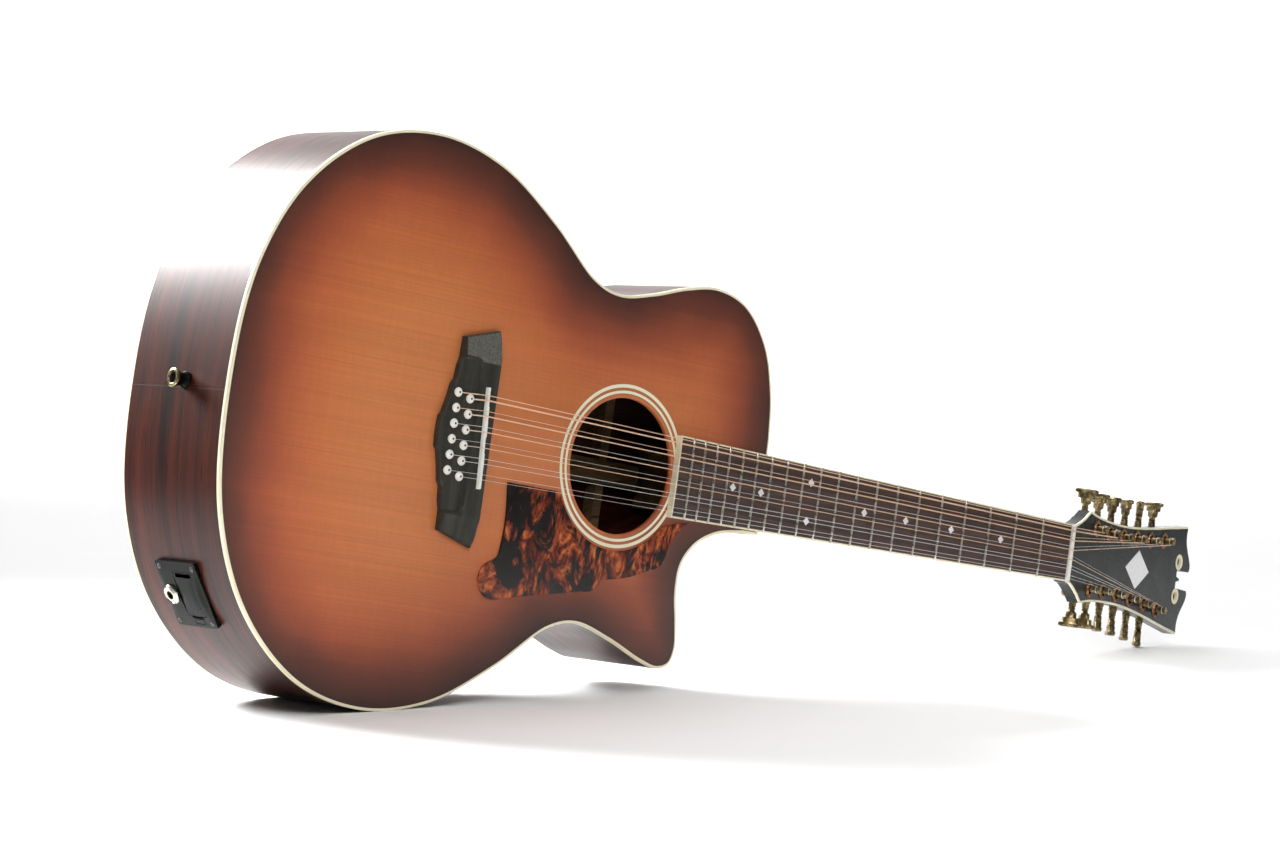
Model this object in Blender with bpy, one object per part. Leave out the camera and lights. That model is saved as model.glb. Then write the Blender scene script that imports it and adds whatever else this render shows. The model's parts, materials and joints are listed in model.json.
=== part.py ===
"""Twelve-string acoustic-electric guitar with a cutaway, standing on its side.

The guitar's own frame: +X runs from the tail to the head, the soundboard's outer face is y = 0 and faces -Y,
the back is at +Y, and z = 0 is the plane through the middle of the neck with the bass side up.
The stance empty then tips it until the lower bout and the last treble tuner button touch z = 0.
"""

import bpy
import bmesh
from math import atan2, cos, pi, radians, sin
from mathutils import Matrix, Vector

# The play left between touching pieces, and the sides of the body's circles
GAP = 0.0003
CIRCLE_SIDES = 48

# Scale and neck
SCALE_LENGTH = 0.6477
NUT_X = 0.8718
FRET_COUNT = 20
NUT_THICK = 0.0055
NUT_TOP = -0.0082
BOARD_TOP = -0.0060
FRET_TOP = -0.0070
FRET_WIDTH = 0.0024
BOARD_END_X = 0.4148
HALF_WIDTH_NUT = 0.0238
HALF_WIDTH_END = 0.0307
HEEL_DEPTH = 0.088
HEEL_LENGTH = 0.070
SHAFT_DEPTH_NUT = 0.0145
SHAFT_DEPTH_HEEL = 0.0175

# Body
BODY_LENGTH = 0.5126
BODY_OFFSET = 0.0024
DEPTH_TAIL = 0.114
DEPTH_NECK = 0.100
PLATE_THICK = 0.0030
BINDING_WIDTH = 0.0021
BINDING_DEPTH = 0.0030
WALL_THICK = 0.0025
LINING_WIDTH = 0.0085
LINING_DEPTH = 0.0130
HOLE_X = 0.3628
HOLE_RADIUS = 0.0504
ROSETTE_INNER = 0.0535
ROSETTE_OUTER = 0.0609
ROSETTE_THICK = 0.0009
ROSETTE_PROUD = 0.0001
BRACE_WIDTH = 0.0065
BRACE_DEPTH = 0.0110
BACK_BRACE_HALF_WIDTH = 0.0040
BACK_STRIP_HALF_WIDTH = 0.0090
BACK_STRIP_ENDS = (0.040, 0.462)
NECK_BLOCK_START = 0.470
NECK_BLOCK_HALF_WIDTH = 0.0225
TAIL_BLOCK_END = 0.034
TAIL_BLOCK_HALF_WIDTH = 0.030
GUARD_THICK = 0.0008
GUARD_CLEARANCE = 0.0016
# How far a cutter runs past the face that it opens
CUT_PAST = 0.002

# Bridge and saddle
BRIDGE_TOP = -0.0083
RECESS_FLOOR = -0.0055
PIN_COLUMNS = (0.1928, 0.2043)
FIRST_PIN_Z = (0.0290, 0.0260)
PIN_PITCH = 0.0111
PIN_RADIUS = 0.0034
PIN_TOP = -0.0088
PIN_CROWN_RADIUS = 0.0022
PIN_SHANK_RADIUS = 0.0024
PIN_HEAD_HEIGHT = 0.0012
SADDLE_ENDS = ((0.2176, 0.0362), (0.2213, -0.0362))
SADDLE_THICK = 0.0028
SADDLE_TOP = -0.0118
SADDLE_FOOT = -0.0050

# Strings: a thin and a thick one in each course, from the bass side
COURSES = ((0.34, 0.60), (0.23, 0.50), (0.16, 0.38), (0.11, 0.29), (0.18, 0.18), (0.13, 0.13))
SADDLE_COURSE = 0.0285
SADDLE_PITCH = 0.0112
SADDLE_PAIR = 0.0018
NUT_COURSE = 0.0200
NUT_PITCH = 0.0080
NUT_PAIR = 0.0014
WRAP_START = -0.0074
WRAP_POINTS = 9
POINTS_PER_TURN = 6

# Headstock, in its own frame: x along it from the nut, y behind its front face
HEAD_TILT = radians(15)
HEAD_ORIGIN = (0.8776, -0.0023)
HEAD_THICK = 0.0122
VENEER_THICK = 0.0020
EYELET_PLACE = (0.2276, 0.0152)
EYELET_RADIUS = 0.0050
POST_X = (0.0472, 0.0738, 0.1020, 0.1305, 0.1600, 0.1890)
POST_Z = (0.0258, 0.0248, 0.0250, 0.0262, 0.0280, 0.0305)
POST_HOLE_RADIUS = 0.0041
POST_RADIUS = 0.0027
POST_TOP = -0.0105
GEAR_RADIUS = 0.0056
GEAR_FRONT = 0.0152
GEAR_BACK = 0.0196
WORM_RADIUS = 0.0025
WORM_HALF_LENGTH = 0.0058
WORM_OFFSET = 0.0084
WORM_Y = 0.0174
SHAFT_RADIUS = 0.0020
BUTTON_REACH = 0.0335
PLATE_FRONT = HEAD_THICK + GAP
PLATE_BACK = PLATE_FRONT + 0.0015
HOUSING_BACK = 0.0228
HOUSING_REACH = (0.0070, 0.0126)
HOUSING_HALF_WIDTH = 0.0082
HOUSING_END_WALL = 0.0009
HOUSING_SIDE_WALL = 0.0012
STRIP_HALF_WIDTH = 0.0040
EAR_PLACE = (0.0240, 0.0275)
# The button's steps: distance in from its tip, half its broad side and half its thin side
BUTTON_STEPS = ((0.0130, 0.0036, 0.0030), (0.0118, 0.0042, 0.0031), (0.0082, 0.0047, 0.0032),
                (0.0078, 0.0068, 0.0034), (0.0040, 0.0074, 0.0035), (0.0035, 0.0092, 0.0038),
                (0.0010, 0.0101, 0.0039), (0.0, 0.0096, 0.0036))
BUTTON_CORNER = 0.0016
# How far each button is turned from lying broad side along the headstock, in degrees
BUTTON_TURN = {"bass": (114, 84, 64, 54, 24, 74), "treble": (114, 94, 34, 36, 30, 26)}

# Jack plate on the treble side of the tail: places are arc lengths along the rim from the tail seam
PANEL_ARC = (0.1220, 0.1716)
PANEL_Y = (0.0350, 0.0812)
PANEL_THICK = 0.0033
DOOR_ARC = (0.1292, 0.1622)
DOOR_Y = (0.0425, 0.0630)
DOOR_LOW = 0.0028
DOOR_HIGH = 0.0036
DOOR_PLAY = 0.0004
BATTERY = (0.0275, 0.0500, 0.0183)
TRAY_WALL = 0.0016
HINGE_OFFSET = 0.0006
JACK_ARC = 0.1462
JACK_Y = 0.0712
JACK_BARREL = 0.0048
JACK_BORE = 0.0033
STRAP_Y = 0.0485
STRAP_Z = 0.0048
# The strap button from the floor of its recess round its flange and down to its foot, as (y, radius)
STRAP_PROFILE = ((-0.0088, 0.0030), (-0.0120, 0.0038), (-0.0120, 0.0062), (-0.0106, 0.0068),
                 (-0.0055, 0.0040), (-GAP, 0.0060))
# The jack from the bottom of its bore, over its ring nut and down its barrel, as (y, radius)
JACK_PROFILE = ((-0.0260, JACK_BORE), (0.0061, JACK_BORE), (0.0061, 0.0066), (0.0039, 0.0072),
                (0.0039, JACK_BARREL), (-0.0300, JACK_BARREL))

# Outline: the lower bout of one side, the bass upper bout, and the treble cutaway, all as (x, z)
LOWER_BOUT = ((0.009, 0.085), (0.040, 0.1475), (0.092, 0.190), (0.152, 0.2035), (0.2125, 0.1925),
              (0.268, 0.1615), (0.3135, 0.1285), (0.339, 0.1222))
UPPER_BOUT = ((0.372, 0.1308), (0.405, 0.1410), (0.437, 0.1463), (0.4688, 0.1382), (0.4945, 0.1120),
              (0.5075, 0.0777), (0.5118, 0.0475), (BODY_LENGTH, 0.0290))
CUTAWAY = ((0.374, -0.1280), (0.409, -0.1405), (0.4265, -0.1440), (0.4385, -0.1395), (0.4430, -0.1270),
           (0.4405, -0.1075), (0.4362, -0.0862), (0.4372, -0.0650), (0.4480, -0.0490), (0.4680, -0.0375),
           (0.4920, -0.0330), (BODY_LENGTH, -0.0320))


# ---------------------------------------------------------------- materials

def material(name, colour, roughness, metallic=0.0):
    """A plain Principled material, made once for each name."""
    found = bpy.data.materials.get(name)
    if found:
        return found
    made = bpy.data.materials.new(name)
    made.use_nodes = True
    shader = made.node_tree.nodes["Principled BSDF"]
    shader.inputs["Base Color"].default_value = (*colour, 1.0)
    shader.inputs["Roughness"].default_value = roughness
    shader.inputs["Metallic"].default_value = metallic
    return made


FINISHES = {
    "spruce": ((0.52, 0.20, 0.07), 0.35),
    "mahogany": ((0.10, 0.035, 0.022), 0.32),
    "bare_spruce": ((0.70, 0.50, 0.28), 0.70),
    "neck_wood": ((0.11, 0.045, 0.028), 0.35),
    "rosewood": ((0.075, 0.040, 0.030), 0.50),
    "ebony": ((0.030, 0.028, 0.027), 0.45),
    "cream_plastic": ((0.80, 0.74, 0.58), 0.35),
    "bone": ((0.90, 0.88, 0.82), 0.40),
    "tortoise": ((0.14, 0.025, 0.012), 0.15),
    "black_plastic": ((0.020, 0.020, 0.020), 0.35),
    "aged_brass": ((0.36, 0.27, 0.13), 0.35, 1.0),
    "nickel": ((0.62, 0.60, 0.56), 0.25, 1.0),
    "steel_string": ((0.70, 0.69, 0.66), 0.30, 1.0),
    "bronze_string": ((0.72, 0.42, 0.24), 0.35, 1.0),
}


# ---------------------------------------------------------------- mesh helpers

def add(name, mesh, finish, parent, location=(0, 0, 0), rotation=(0, 0, 0)):
    """Link a mesh (or curve) as a named object under its parent."""
    if isinstance(mesh, bmesh.types.BMesh):
        built = bpy.data.meshes.new(name)
        mesh.to_mesh(built)
        mesh.free()
        built.shade_smooth()
        built.set_sharp_from_angle(angle=radians(35))
    else:
        built = mesh
    piece = bpy.data.objects.new(name, built)
    bpy.context.collection.objects.link(piece)
    piece.parent = parent
    piece.location = location
    piece.rotation_euler = rotation
    if finish:
        built.materials.append(material(finish, *FINISHES[finish]))
    return piece


def guide(name, mesh, parent, location=(0, 0, 0), rotation=(0, 0, 0)):
    """A cutter or an operand of a union: seen as wire, and no part of the guitar."""
    piece = add(name, mesh, None, parent, location, rotation)
    piece.hide_render = True
    piece.display_type = "WIRE"
    return piece


def boolean(piece, other, operation):
    modifier = piece.modifiers.new(f"{operation.lower()} {other.name}", "BOOLEAN")
    modifier.operation = operation
    modifier.object = other
    modifier.solver = "EXACT"


def loft(rings, closed=False):
    """Skin a row of rings that all have the same number of points; an open row gets end caps."""
    mesh = bmesh.new()
    rows = [[mesh.verts.new(point) for point in ring] for ring in rings]
    pairs = list(zip(rows, rows[1:]))
    if closed:
        pairs.append((rows[-1], rows[0]))
    for low, high in pairs:
        for i, vertex in enumerate(low):
            j = (i + 1) % len(low)
            mesh.faces.new((vertex, low[j], high[j], high[i]))
    if not closed:
        mesh.faces.new(rows[0])
        mesh.faces.new(rows[-1])
    bmesh.ops.recalc_face_normals(mesh, faces=mesh.faces[:])
    return mesh


def plate(loops, front, back):
    """A flat piece from (x, z) loops, its outline and holes; front and back are y values or rules in x."""
    mesh = bmesh.new()
    for loop in loops:
        vertices = [mesh.verts.new((x, 0, z)) for x, z in loop]
        for i, vertex in enumerate(vertices):
            mesh.edges.new((vertices[i - 1], vertex))
    bmesh.ops.triangle_fill(mesh, edges=mesh.edges[:], use_beauty=True)
    made = bmesh.ops.extrude_face_region(mesh, geom=mesh.faces[:])["geom"]
    moved = {item for item in made if isinstance(item, bmesh.types.BMVert)}
    for vertex in mesh.verts:
        rule = back if vertex in moved else front
        vertex.co.y = rule(vertex.co.x) if callable(rule) else rule
    bmesh.ops.recalc_face_normals(mesh, faces=mesh.faces[:])
    return mesh


def box(low, high):
    outline = [(low[0], low[2]), (high[0], low[2]), (high[0], high[2]), (low[0], high[2])]
    return plate([outline], low[1], high[1])


def boxes(corners):
    """Several separate boxes in one mesh, for one Boolean operand."""
    mesh = bmesh.new()
    for low, high in corners:
        middle = (Vector(low) + Vector(high)) / 2
        size = Vector(high) - Vector(low)
        place = Matrix.Translation(middle) @ Matrix.Diagonal((*size, 1))
        bmesh.ops.create_cube(mesh, size=1, matrix=place)
    return mesh


def turned(profile, sides):
    """A piece turned about the Y axis from (y, radius) points."""
    rings = []
    for y, radius in profile:
        angles = [2 * pi * (i + 0.5) / sides for i in range(sides)]
        rings.append([(radius * cos(angle), y, radius * sin(angle)) for angle in angles])
    return loft(rings)


def circle(x, z, radius, sides):
    angles = [2 * pi * i / sides for i in range(sides)]
    return [(x + radius * cos(angle), z + radius * sin(angle)) for angle in angles]


def smooth(points, samples):
    """A Catmull-Rom curve through (x, z) points, with centripetal spacing."""
    ends = [tuple(2 * a - b for a, b in zip(points[0], points[1])),
            tuple(2 * a - b for a, b in zip(points[-1], points[-2]))]
    row = [Vector(p) for p in (ends[0], *points, ends[1])]
    curve = []
    for p0, p1, p2, p3 in zip(row, row[1:], row[2:], row[3:]):
        t1 = (p1 - p0).length ** 0.5
        t2 = t1 + (p2 - p1).length ** 0.5
        t3 = t2 + (p3 - p2).length ** 0.5
        for step in range(samples):
            t = t1 + (t2 - t1) * step / samples
            a = p0.lerp(p1, t / t1)
            b = p1.lerp(p2, (t - t1) / (t2 - t1))
            c = p2.lerp(p3, (t - t2) / (t3 - t2))
            early = a.lerp(b, t / t2)
            late = b.lerp(c, (t - t1) / (t3 - t1))
            curve.append(early.lerp(late, (t - t1) / (t2 - t1)))
    curve.append(row[-2])
    return curve


def thinned(curve, turn, longest):
    """Keep the points of a dense curve where it has turned enough or run far enough."""
    kept = [curve[0]]
    turned_by = 0.0
    for before, here, after in zip(curve, curve[1:], curve[2:]):
        turned_by += abs((here - before).angle_signed(after - here, 0.0))
        if turned_by >= turn or (here - kept[-1]).length >= longest:
            kept.append(here)
            turned_by = 0.0
    return kept + [curve[-1]]


def inset(loop, distance):
    """Move a closed loop inwards by a distance, with mitred corners."""
    moved = []
    for i, here in enumerate(loop):
        first = (here - loop[i - 1]).normalized()
        second = (loop[(i + 1) % len(loop)] - here).normalized()
        inward = Vector((first.y + second.y, -first.x - second.x))
        moved.append(here + inward * distance / (1 + first.dot(second)))
    return moved


# ---------------------------------------------------------------- body

def back_y(x):
    """The back's outer face, which tapers towards the neck."""
    return DEPTH_TAIL + (DEPTH_NECK - DEPTH_TAIL) * x / BODY_LENGTH


def inside_back(x):
    """Just clear of the back's inner face."""
    return back_y(x) - PLATE_THICK - GAP


def half_outlines():
    """The bass and the treble half of the body's outline, both from the tail seam to the neck's middle."""
    upper = [(x, z + BODY_OFFSET) for x, z in LOWER_BOUT]
    lower = [(x, BODY_OFFSET - z) for x, z in LOWER_BOUT]
    tail = (0, BODY_OFFSET)
    samples = 24
    lead_in = 3
    bass = smooth([*reversed(lower[:lead_in]), tail, *upper, *UPPER_BOUT], samples)
    treble = smooth([*reversed(upper[:lead_in]), tail, *lower, *CUTAWAY], samples)
    skipped = lead_in * samples
    neck = Vector((BODY_LENGTH, 0))
    return [thinned(half[skipped:], radians(8), 0.035) + [neck] for half in (bass, treble)]


def rim_at(distance):
    """The treble rim at an arc length from the seam: its point, its way from the tail and its outward way."""
    half = half_outlines()[1]
    left = distance
    for start, end in zip(half, half[1:]):
        step = (end - start).length
        if left <= step:
            along = (end - start).normalized()
            return start.lerp(end, left / step), along, Vector((along.y, -along.x))
        left -= step
    raise ValueError("past the end of the rim")


def rim_matrix(distance, y, out=0.0):
    """A place on the treble rim: X runs along the rim, Y points out of the body, Z is the guitar's y."""
    point, along, outward = rim_at(distance)
    point = point + outward * out
    columns = (Vector((along.x, 0, along.y)), Vector((outward.x, 0, outward.y)), Vector((0, 1, 0)))
    return Matrix.Translation((point.x, y, point.y)) @ Matrix(columns).transposed().to_4x4()


def rim_frame(name, matrix, parent):
    frame = bpy.data.objects.new(name, None)
    bpy.context.collection.objects.link(frame)
    frame.parent = parent
    frame.matrix_local = matrix
    return frame


def rim_panel(arcs, depths, low, high, steps):
    """A panel that follows the treble rim between two arc lengths and two depths, low to high outside it."""
    rings = []
    for i in range(steps + 1):
        point, _, outward = rim_at(arcs[0] + (arcs[1] - arcs[0]) * i / steps)
        near = point + outward * low
        far = point + outward * high
        rings.append([(near.x, depths[0], near.y), (far.x, depths[0], far.y),
                      (far.x, depths[1], far.y), (near.x, depths[1], near.y)])
    return loft(rings)


def body(stance):
    bass, treble = half_outlines()
    outline = bass + treble[-2:0:-1]
    edge = inset(outline, BINDING_WIDTH)
    panel = inset(outline, BINDING_WIDTH + GAP)
    hole = circle(HOLE_X, 0, HOLE_RADIUS, CIRCLE_SIDES)

    top = add("top", plate([panel, hole], 0, PLATE_THICK), "spruce", stance)
    edges = (ROSETTE_OUTER + GAP, ROSETTE_INNER - GAP)
    channel = [circle(HOLE_X, 0, radius, CIRCLE_SIDES) for radius in edges]
    cutter = guide("rosette_channel", plate(channel, -CUT_PAST, ROSETTE_THICK + GAP), stance)
    boolean(top, cutter, "DIFFERENCE")
    ring = [circle(HOLE_X, 0, radius, CIRCLE_SIDES) for radius in (ROSETTE_OUTER, ROSETTE_INNER)]
    add("rosette", plate(ring, -ROSETTE_PROUD, ROSETTE_THICK), "cream_plastic", stance)
    add("back", plate([panel], lambda x: back_y(x) - PLATE_THICK, back_y), "mahogany", stance)

    for name, depth in (("binding_front", lambda x: (0, BINDING_DEPTH)),
                        ("binding_back", lambda x: (back_y(x) - BINDING_DEPTH, back_y(x)))):
        rings = []
        for outer, inner in zip(outline, edge):
            near, far = depth(outer.x)
            rings.append([(outer.x, near, outer.y), (outer.x, far, outer.y),
                          (inner.x, far, inner.y), (inner.x, near, inner.y)])
        add(name, loft(rings, closed=True), "cream_plastic", stance)

    walls = [outline, inset(outline, WALL_THICK), inset(outline, LINING_WIDTH)]
    seam = len(bass)
    for name, rows, sign in (("bass_side", [wall[:seam] for wall in walls], 1),
                             ("treble_side", [[wall[0], *wall[:seam - 2:-1]] for wall in walls], -1)):
        rings = []
        for outer, wall, lining in zip(*rows):
            front = BINDING_DEPTH + GAP
            rear = back_y(outer.x) - BINDING_DEPTH - GAP
            rings.append([(outer.x, front, outer.y),
                          (lining.x, front, lining.y),
                          (lining.x, LINING_DEPTH / 2, lining.y),
                          (wall.x, LINING_DEPTH, wall.y),
                          (wall.x, rear - LINING_DEPTH, wall.y),
                          (lining.x, rear - LINING_DEPTH / 2, lining.y),
                          (lining.x, rear, lining.y),
                          (outer.x, rear, outer.y)])
        for ring, seam_z in ((rings[0], BODY_OFFSET), (rings[-1], 0)):
            ring[:] = [(x, y, seam_z + sign * GAP / 2) for x, y, z in ring]
        add(name, loft(rings), "mahogany", stance)


def blocks_and_braces(stance):
    under_top = PLATE_THICK + GAP
    blocks = {"neck_block": (NECK_BLOCK_START, BODY_LENGTH - LINING_WIDTH - 2 * GAP, NECK_BLOCK_HALF_WIDTH),
              "tail_block": (WALL_THICK + LINING_WIDTH, TAIL_BLOCK_END, TAIL_BLOCK_HALF_WIDTH)}
    for name, (start, end, wide) in blocks.items():
        outline = [(start, -wide), (end, -wide), (end, wide), (start, wide)]
        add(name, plate([outline], under_top, inside_back), "bare_spruce", stance)

    def bar(start, end):
        start, end = Vector(start), Vector(end)
        side = (end - start).orthogonal().normalized() * BRACE_WIDTH / 2
        outline = [start - side, end - side, end + side, start + side]
        return plate([outline], under_top, under_top + BRACE_DEPTH)

    braces = add("top_bracing", bar((0.080, 0.2178), (0.430, -0.1575)), "bare_spruce", stance)
    others = {"brace_cross": ((0.080, -0.2178), (0.430, 0.1575)),
              "brace_upper": ((0.4285, -0.170), (0.4285, 0.170)),
              "brace_tone": ((0.190, 0.0985), (0.120, -0.070)),
              "brace_tone_low": ((0.145, 0.1470), (0.070, -0.040)),
              "brace_flank_bass": ((0.334, 0.0545), (0.431, 0.0660)),
              "brace_flank_treble": ((0.334, -0.0545), (0.431, -0.0660))}
    for name, ends in others.items():
        boolean(braces, guide(name, bar(*ends), stance), "UNION")
    bass, treble = half_outlines()
    inside = inset(bass + treble[-2:0:-1], LINING_WIDTH + GAP)
    room = guide("brace_room", plate([inside], 0, DEPTH_TAIL), stance)
    boolean(braces, room, "INTERSECT")

    # The back's centre strip and its four cross bars are one outline; each bar is given as (x, reach)
    bars = ((0.085, 0.20), (0.190, 0.22), (0.342, 0.15), (0.424, 0.15))
    upper = [(BACK_STRIP_ENDS[0], BACK_STRIP_HALF_WIDTH)]
    for x, reach in bars:
        low, high = x - BACK_BRACE_HALF_WIDTH, x + BACK_BRACE_HALF_WIDTH
        upper += [(low, BACK_STRIP_HALF_WIDTH), (low, reach), (high, reach), (high, BACK_STRIP_HALF_WIDTH)]
    upper.append((BACK_STRIP_ENDS[1], BACK_STRIP_HALF_WIDTH))
    comb = upper + [(x, -z) for x, z in reversed(upper)]
    ladder = plate([comb], lambda x: inside_back(x) - BRACE_DEPTH, inside_back)
    boolean(add("back_bracing", ladder, "bare_spruce", stance), room, "INTERSECT")


def pickguard(stance):
    """The guard follows the rosette on one side and steps down its other side."""
    start = (0.2550, -0.0268)
    radius = ROSETTE_OUTER + GUARD_CLEARANCE
    corner = HOLE_X - (radius ** 2 - start[1] ** 2) ** 0.5
    arc_start = atan2(start[1], corner - HOLE_X)
    arc_end = radians(-38)
    steps = 14
    angles = [arc_start + (arc_end - arc_start) * i / steps for i in range(steps + 1)]
    arc = [(HOLE_X + radius * cos(angle), radius * sin(angle)) for angle in angles]
    shoulder = [(0.4368, -0.0330), (0.4277, -0.0414), (0.4209, -0.0527), (0.4186, -0.0618), (0.4141, -0.0686),
                (0.4028, -0.0732), (0.3845, -0.0800), (0.3573, -0.0855), (0.3528, -0.0914), (0.3391, -0.0959),
                (0.2732, -0.1080), (0.2573, -0.1118)]
    lobe = [(0.2490, -0.1105), (0.2438, -0.1064), (0.2405, -0.1010), (0.2400, -0.0959), (0.2420, -0.0905),
            (0.2460, -0.0865), (0.2515, -0.0835)]
    side = [(0.2550, -0.0805), (0.2572, -0.0680), (0.2578, -0.0527), (0.2566, -0.0395)]
    outline = [start, *arc, *shoulder, *lobe, *side]
    add("pickguard", plate([outline], -GAP - GUARD_THICK, -GAP), "tortoise", stance)


# ---------------------------------------------------------------- bridge and saddle

def pin_places():
    """The bridge pins' centres from the bass side, thin string then thick string in each course."""
    return [(PIN_COLUMNS[column], FIRST_PIN_Z[column] - PIN_PITCH * course)
            for course in range(6) for column in (0, 1)]


def bridge(stance):
    half = [(0.2282, 0.0520), (0.2280, 0.0700), (0.2264, 0.0780), (0.1948, 0.0690), (0.1945, 0.0545),
            (0.1928, 0.0490), (0.1917, 0.0385), (0.1892, 0.0345), (0.1872, 0.0240), (0.1844, 0.0135),
            (0.1824, 0.0110), (0.1818, 0.0040)]
    outline = half + [(x, -z) for x, z in reversed(half)]
    piece = add("bridge", plate([outline], BRIDGE_TOP, -GAP), "ebony", stance)
    recess = [(0.2130, 0.0465), (0.2095, 0.0530), (0.2035, 0.0555), (0.1700, 0.0572)]
    recess += [(x, -z) for x, z in reversed(recess)]
    slot = saddle_outline(SADDLE_THICK + 2 * GAP, GAP)
    cuts = (("bridge_recess", recess, RECESS_FLOOR), ("saddle_slot", slot, SADDLE_FOOT + GAP))
    for name, outline, floor in cuts:
        boolean(piece, guide(name, plate([outline], BRIDGE_TOP - CUT_PAST, floor), stance), "DIFFERENCE")

    pins = bmesh.new()
    foot = RECESS_FLOOR + PIN_HEAD_HEIGHT
    profile = ((PIN_TOP, PIN_CROWN_RADIUS), (PIN_TOP + PIN_HEAD_HEIGHT, PIN_RADIUS), (foot, PIN_RADIUS * 0.9),
               (foot + GAP, PIN_SHANK_RADIUS))
    for x, z in pin_places():
        single = turned(profile, 6)
        built = bpy.data.meshes.new("pin")
        bmesh.ops.translate(single, verts=single.verts[:], vec=(x, 0, z))
        single.to_mesh(built)
        single.free()
        pins.from_mesh(built)
        bpy.data.meshes.remove(built)
    boolean(piece, guide("bridge_pins", pins, stance), "UNION")
    add("saddle", plate([saddle_outline(SADDLE_THICK, 0)], SADDLE_TOP, SADDLE_FOOT), "bone", stance)


def saddle_outline(thick, margin):
    bass, treble = (Vector(end) for end in SADDLE_ENDS)
    along = (treble - bass).normalized()
    bass, treble = bass - along * margin, treble + along * margin
    side = along.orthogonal() * thick / 2
    return [bass - side, treble - side, treble + side, bass + side]


# ---------------------------------------------------------------- neck and headstock

def fret_x(fret):
    """Where a fret lies by the equal-tempered rule."""
    return NUT_X - SCALE_LENGTH * (1 - 2 ** (-fret / 12))


def half_width(x):
    """Half the fingerboard's width, which grows from the nut towards the body."""
    end_x = fret_x(FRET_COUNT)
    return HALF_WIDTH_NUT + (HALF_WIDTH_END - HALF_WIDTH_NUT) * (NUT_X - x) / (NUT_X - end_x)


def fingerboard(stance):
    """One outline of the board's side with its frets, drawn across to the board's own width."""
    profile = [(BOARD_END_X, -GAP), (BOARD_END_X, BOARD_TOP)]
    for fret in range(FRET_COUNT, 0, -1):
        x = fret_x(fret)
        half = FRET_WIDTH / 2
        profile += [(x - half, BOARD_TOP), (x - half * 0.5, FRET_TOP), (x + half * 0.5, FRET_TOP),
                    (x + half, BOARD_TOP)]
    end = NUT_X - GAP
    profile += [(end, BOARD_TOP), (end, -GAP)]
    rings = [[(x, y, side * half_width(x)) for x, y in profile] for side in (-1, 1)]
    add("fingerboard", loft(rings), "rosewood", stance)

    width = half_width(NUT_X)
    side = [(NUT_X, -GAP), (NUT_X, NUT_TOP + 0.0006), (NUT_X + 0.0012, NUT_TOP),
            (NUT_X + NUT_THICK - 0.0010, NUT_TOP + 0.0004), (NUT_X + NUT_THICK, NUT_TOP + 0.0020),
            (NUT_X + NUT_THICK, -GAP)]
    add("nut", loft([[(x, y, z) for x, y in side] for z in (-width, width)]), "bone", stance)


def neck_section(x, top, depth, taper):
    """A ring with a flat top and a rounded underside; taper narrows it towards the bottom."""
    width = half_width(min(x, NUT_X))
    ring = [(x, top, -width), (x, top, width)]
    for i in range(7):
        angle = pi * (i + 1) / 8
        across = cos(angle)
        narrowed = abs(across) ** taper * (1 if across > 0 else -1)
        ring.append((x, top + (depth - top) * sin(angle) ** 0.8, width * narrowed))
    return ring


def headstock_outline():
    """The headstock from the front: flared shoulders, waisted sides, and two lobes with a toothed notch."""
    half = [(0.0020, 0.0243), (0.0120, 0.0268), (0.0220, 0.0318), (0.0330, 0.0392), (0.0500, 0.0365),
            (0.0800, 0.0347), (0.1100, 0.0348), (0.1400, 0.0368), (0.1700, 0.0400), (0.2000, 0.0438),
            (0.2390, 0.0486), (0.2386, 0.0400), (0.2402, 0.0330), (0.2442, 0.0265), (0.2500, 0.0190),
            (0.2526, 0.0140), (0.2526, 0.0105), (0.2510, 0.0084), (0.2260, 0.0080), (0.2254, 0.0028),
            (0.2330, 0.0010)]
    return half + [(x, -z) for x, z in reversed(half)]


def post_places():
    """Each tuner's name and its post's place on the headstock, nearest the nut first."""
    for side, sign in (("bass", 1), ("treble", -1)):
        for i, (x, z) in enumerate(zip(POST_X, POST_Z)):
            yield f"{side}_{i + 1}", side, sign, i, x, sign * z


def neck_and_headstock(stance, head):
    stations = [BODY_LENGTH + GAP, 0.517, 0.523, 0.531, 0.541, 0.553, 0.567, 0.583, 0.640, 0.760, 0.858,
                NUT_X + NUT_THICK]
    rings = []
    for x in stations:
        along = (x - BODY_LENGTH) / (NUT_X - BODY_LENGTH)
        depth = SHAFT_DEPTH_HEEL + (SHAFT_DEPTH_NUT - SHAFT_DEPTH_HEEL) * along
        heel = max(0.0, 1 - (x - BODY_LENGTH) / HEEL_LENGTH)
        rings.append(neck_section(x, 0, depth + (HEEL_DEPTH - depth) * heel ** 2.4, 1 + 0.7 * heel))
    rings.append(neck_section(0.8835, 0.0032, SHAFT_DEPTH_NUT - 0.001, 1))
    neck = add("neck", loft(rings), "neck_wood", stance)
    holes = [circle(x, z, POST_HOLE_RADIUS, 8) for *_, x, z in post_places()]
    eyelets = [circle(EYELET_PLACE[0], sign * EYELET_PLACE[1], EYELET_RADIUS, 8) for sign in (-1, 1)]
    core = plate([headstock_outline(), *holes, *eyelets], VENEER_THICK + GAP, HEAD_THICK)
    boolean(neck, guide("headstock_core", core, head), "UNION")
    add("headstock_veneer", plate([headstock_outline(), *holes, *eyelets], 0, VENEER_THICK), "ebony", head)


# ---------------------------------------------------------------- tuners

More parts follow.
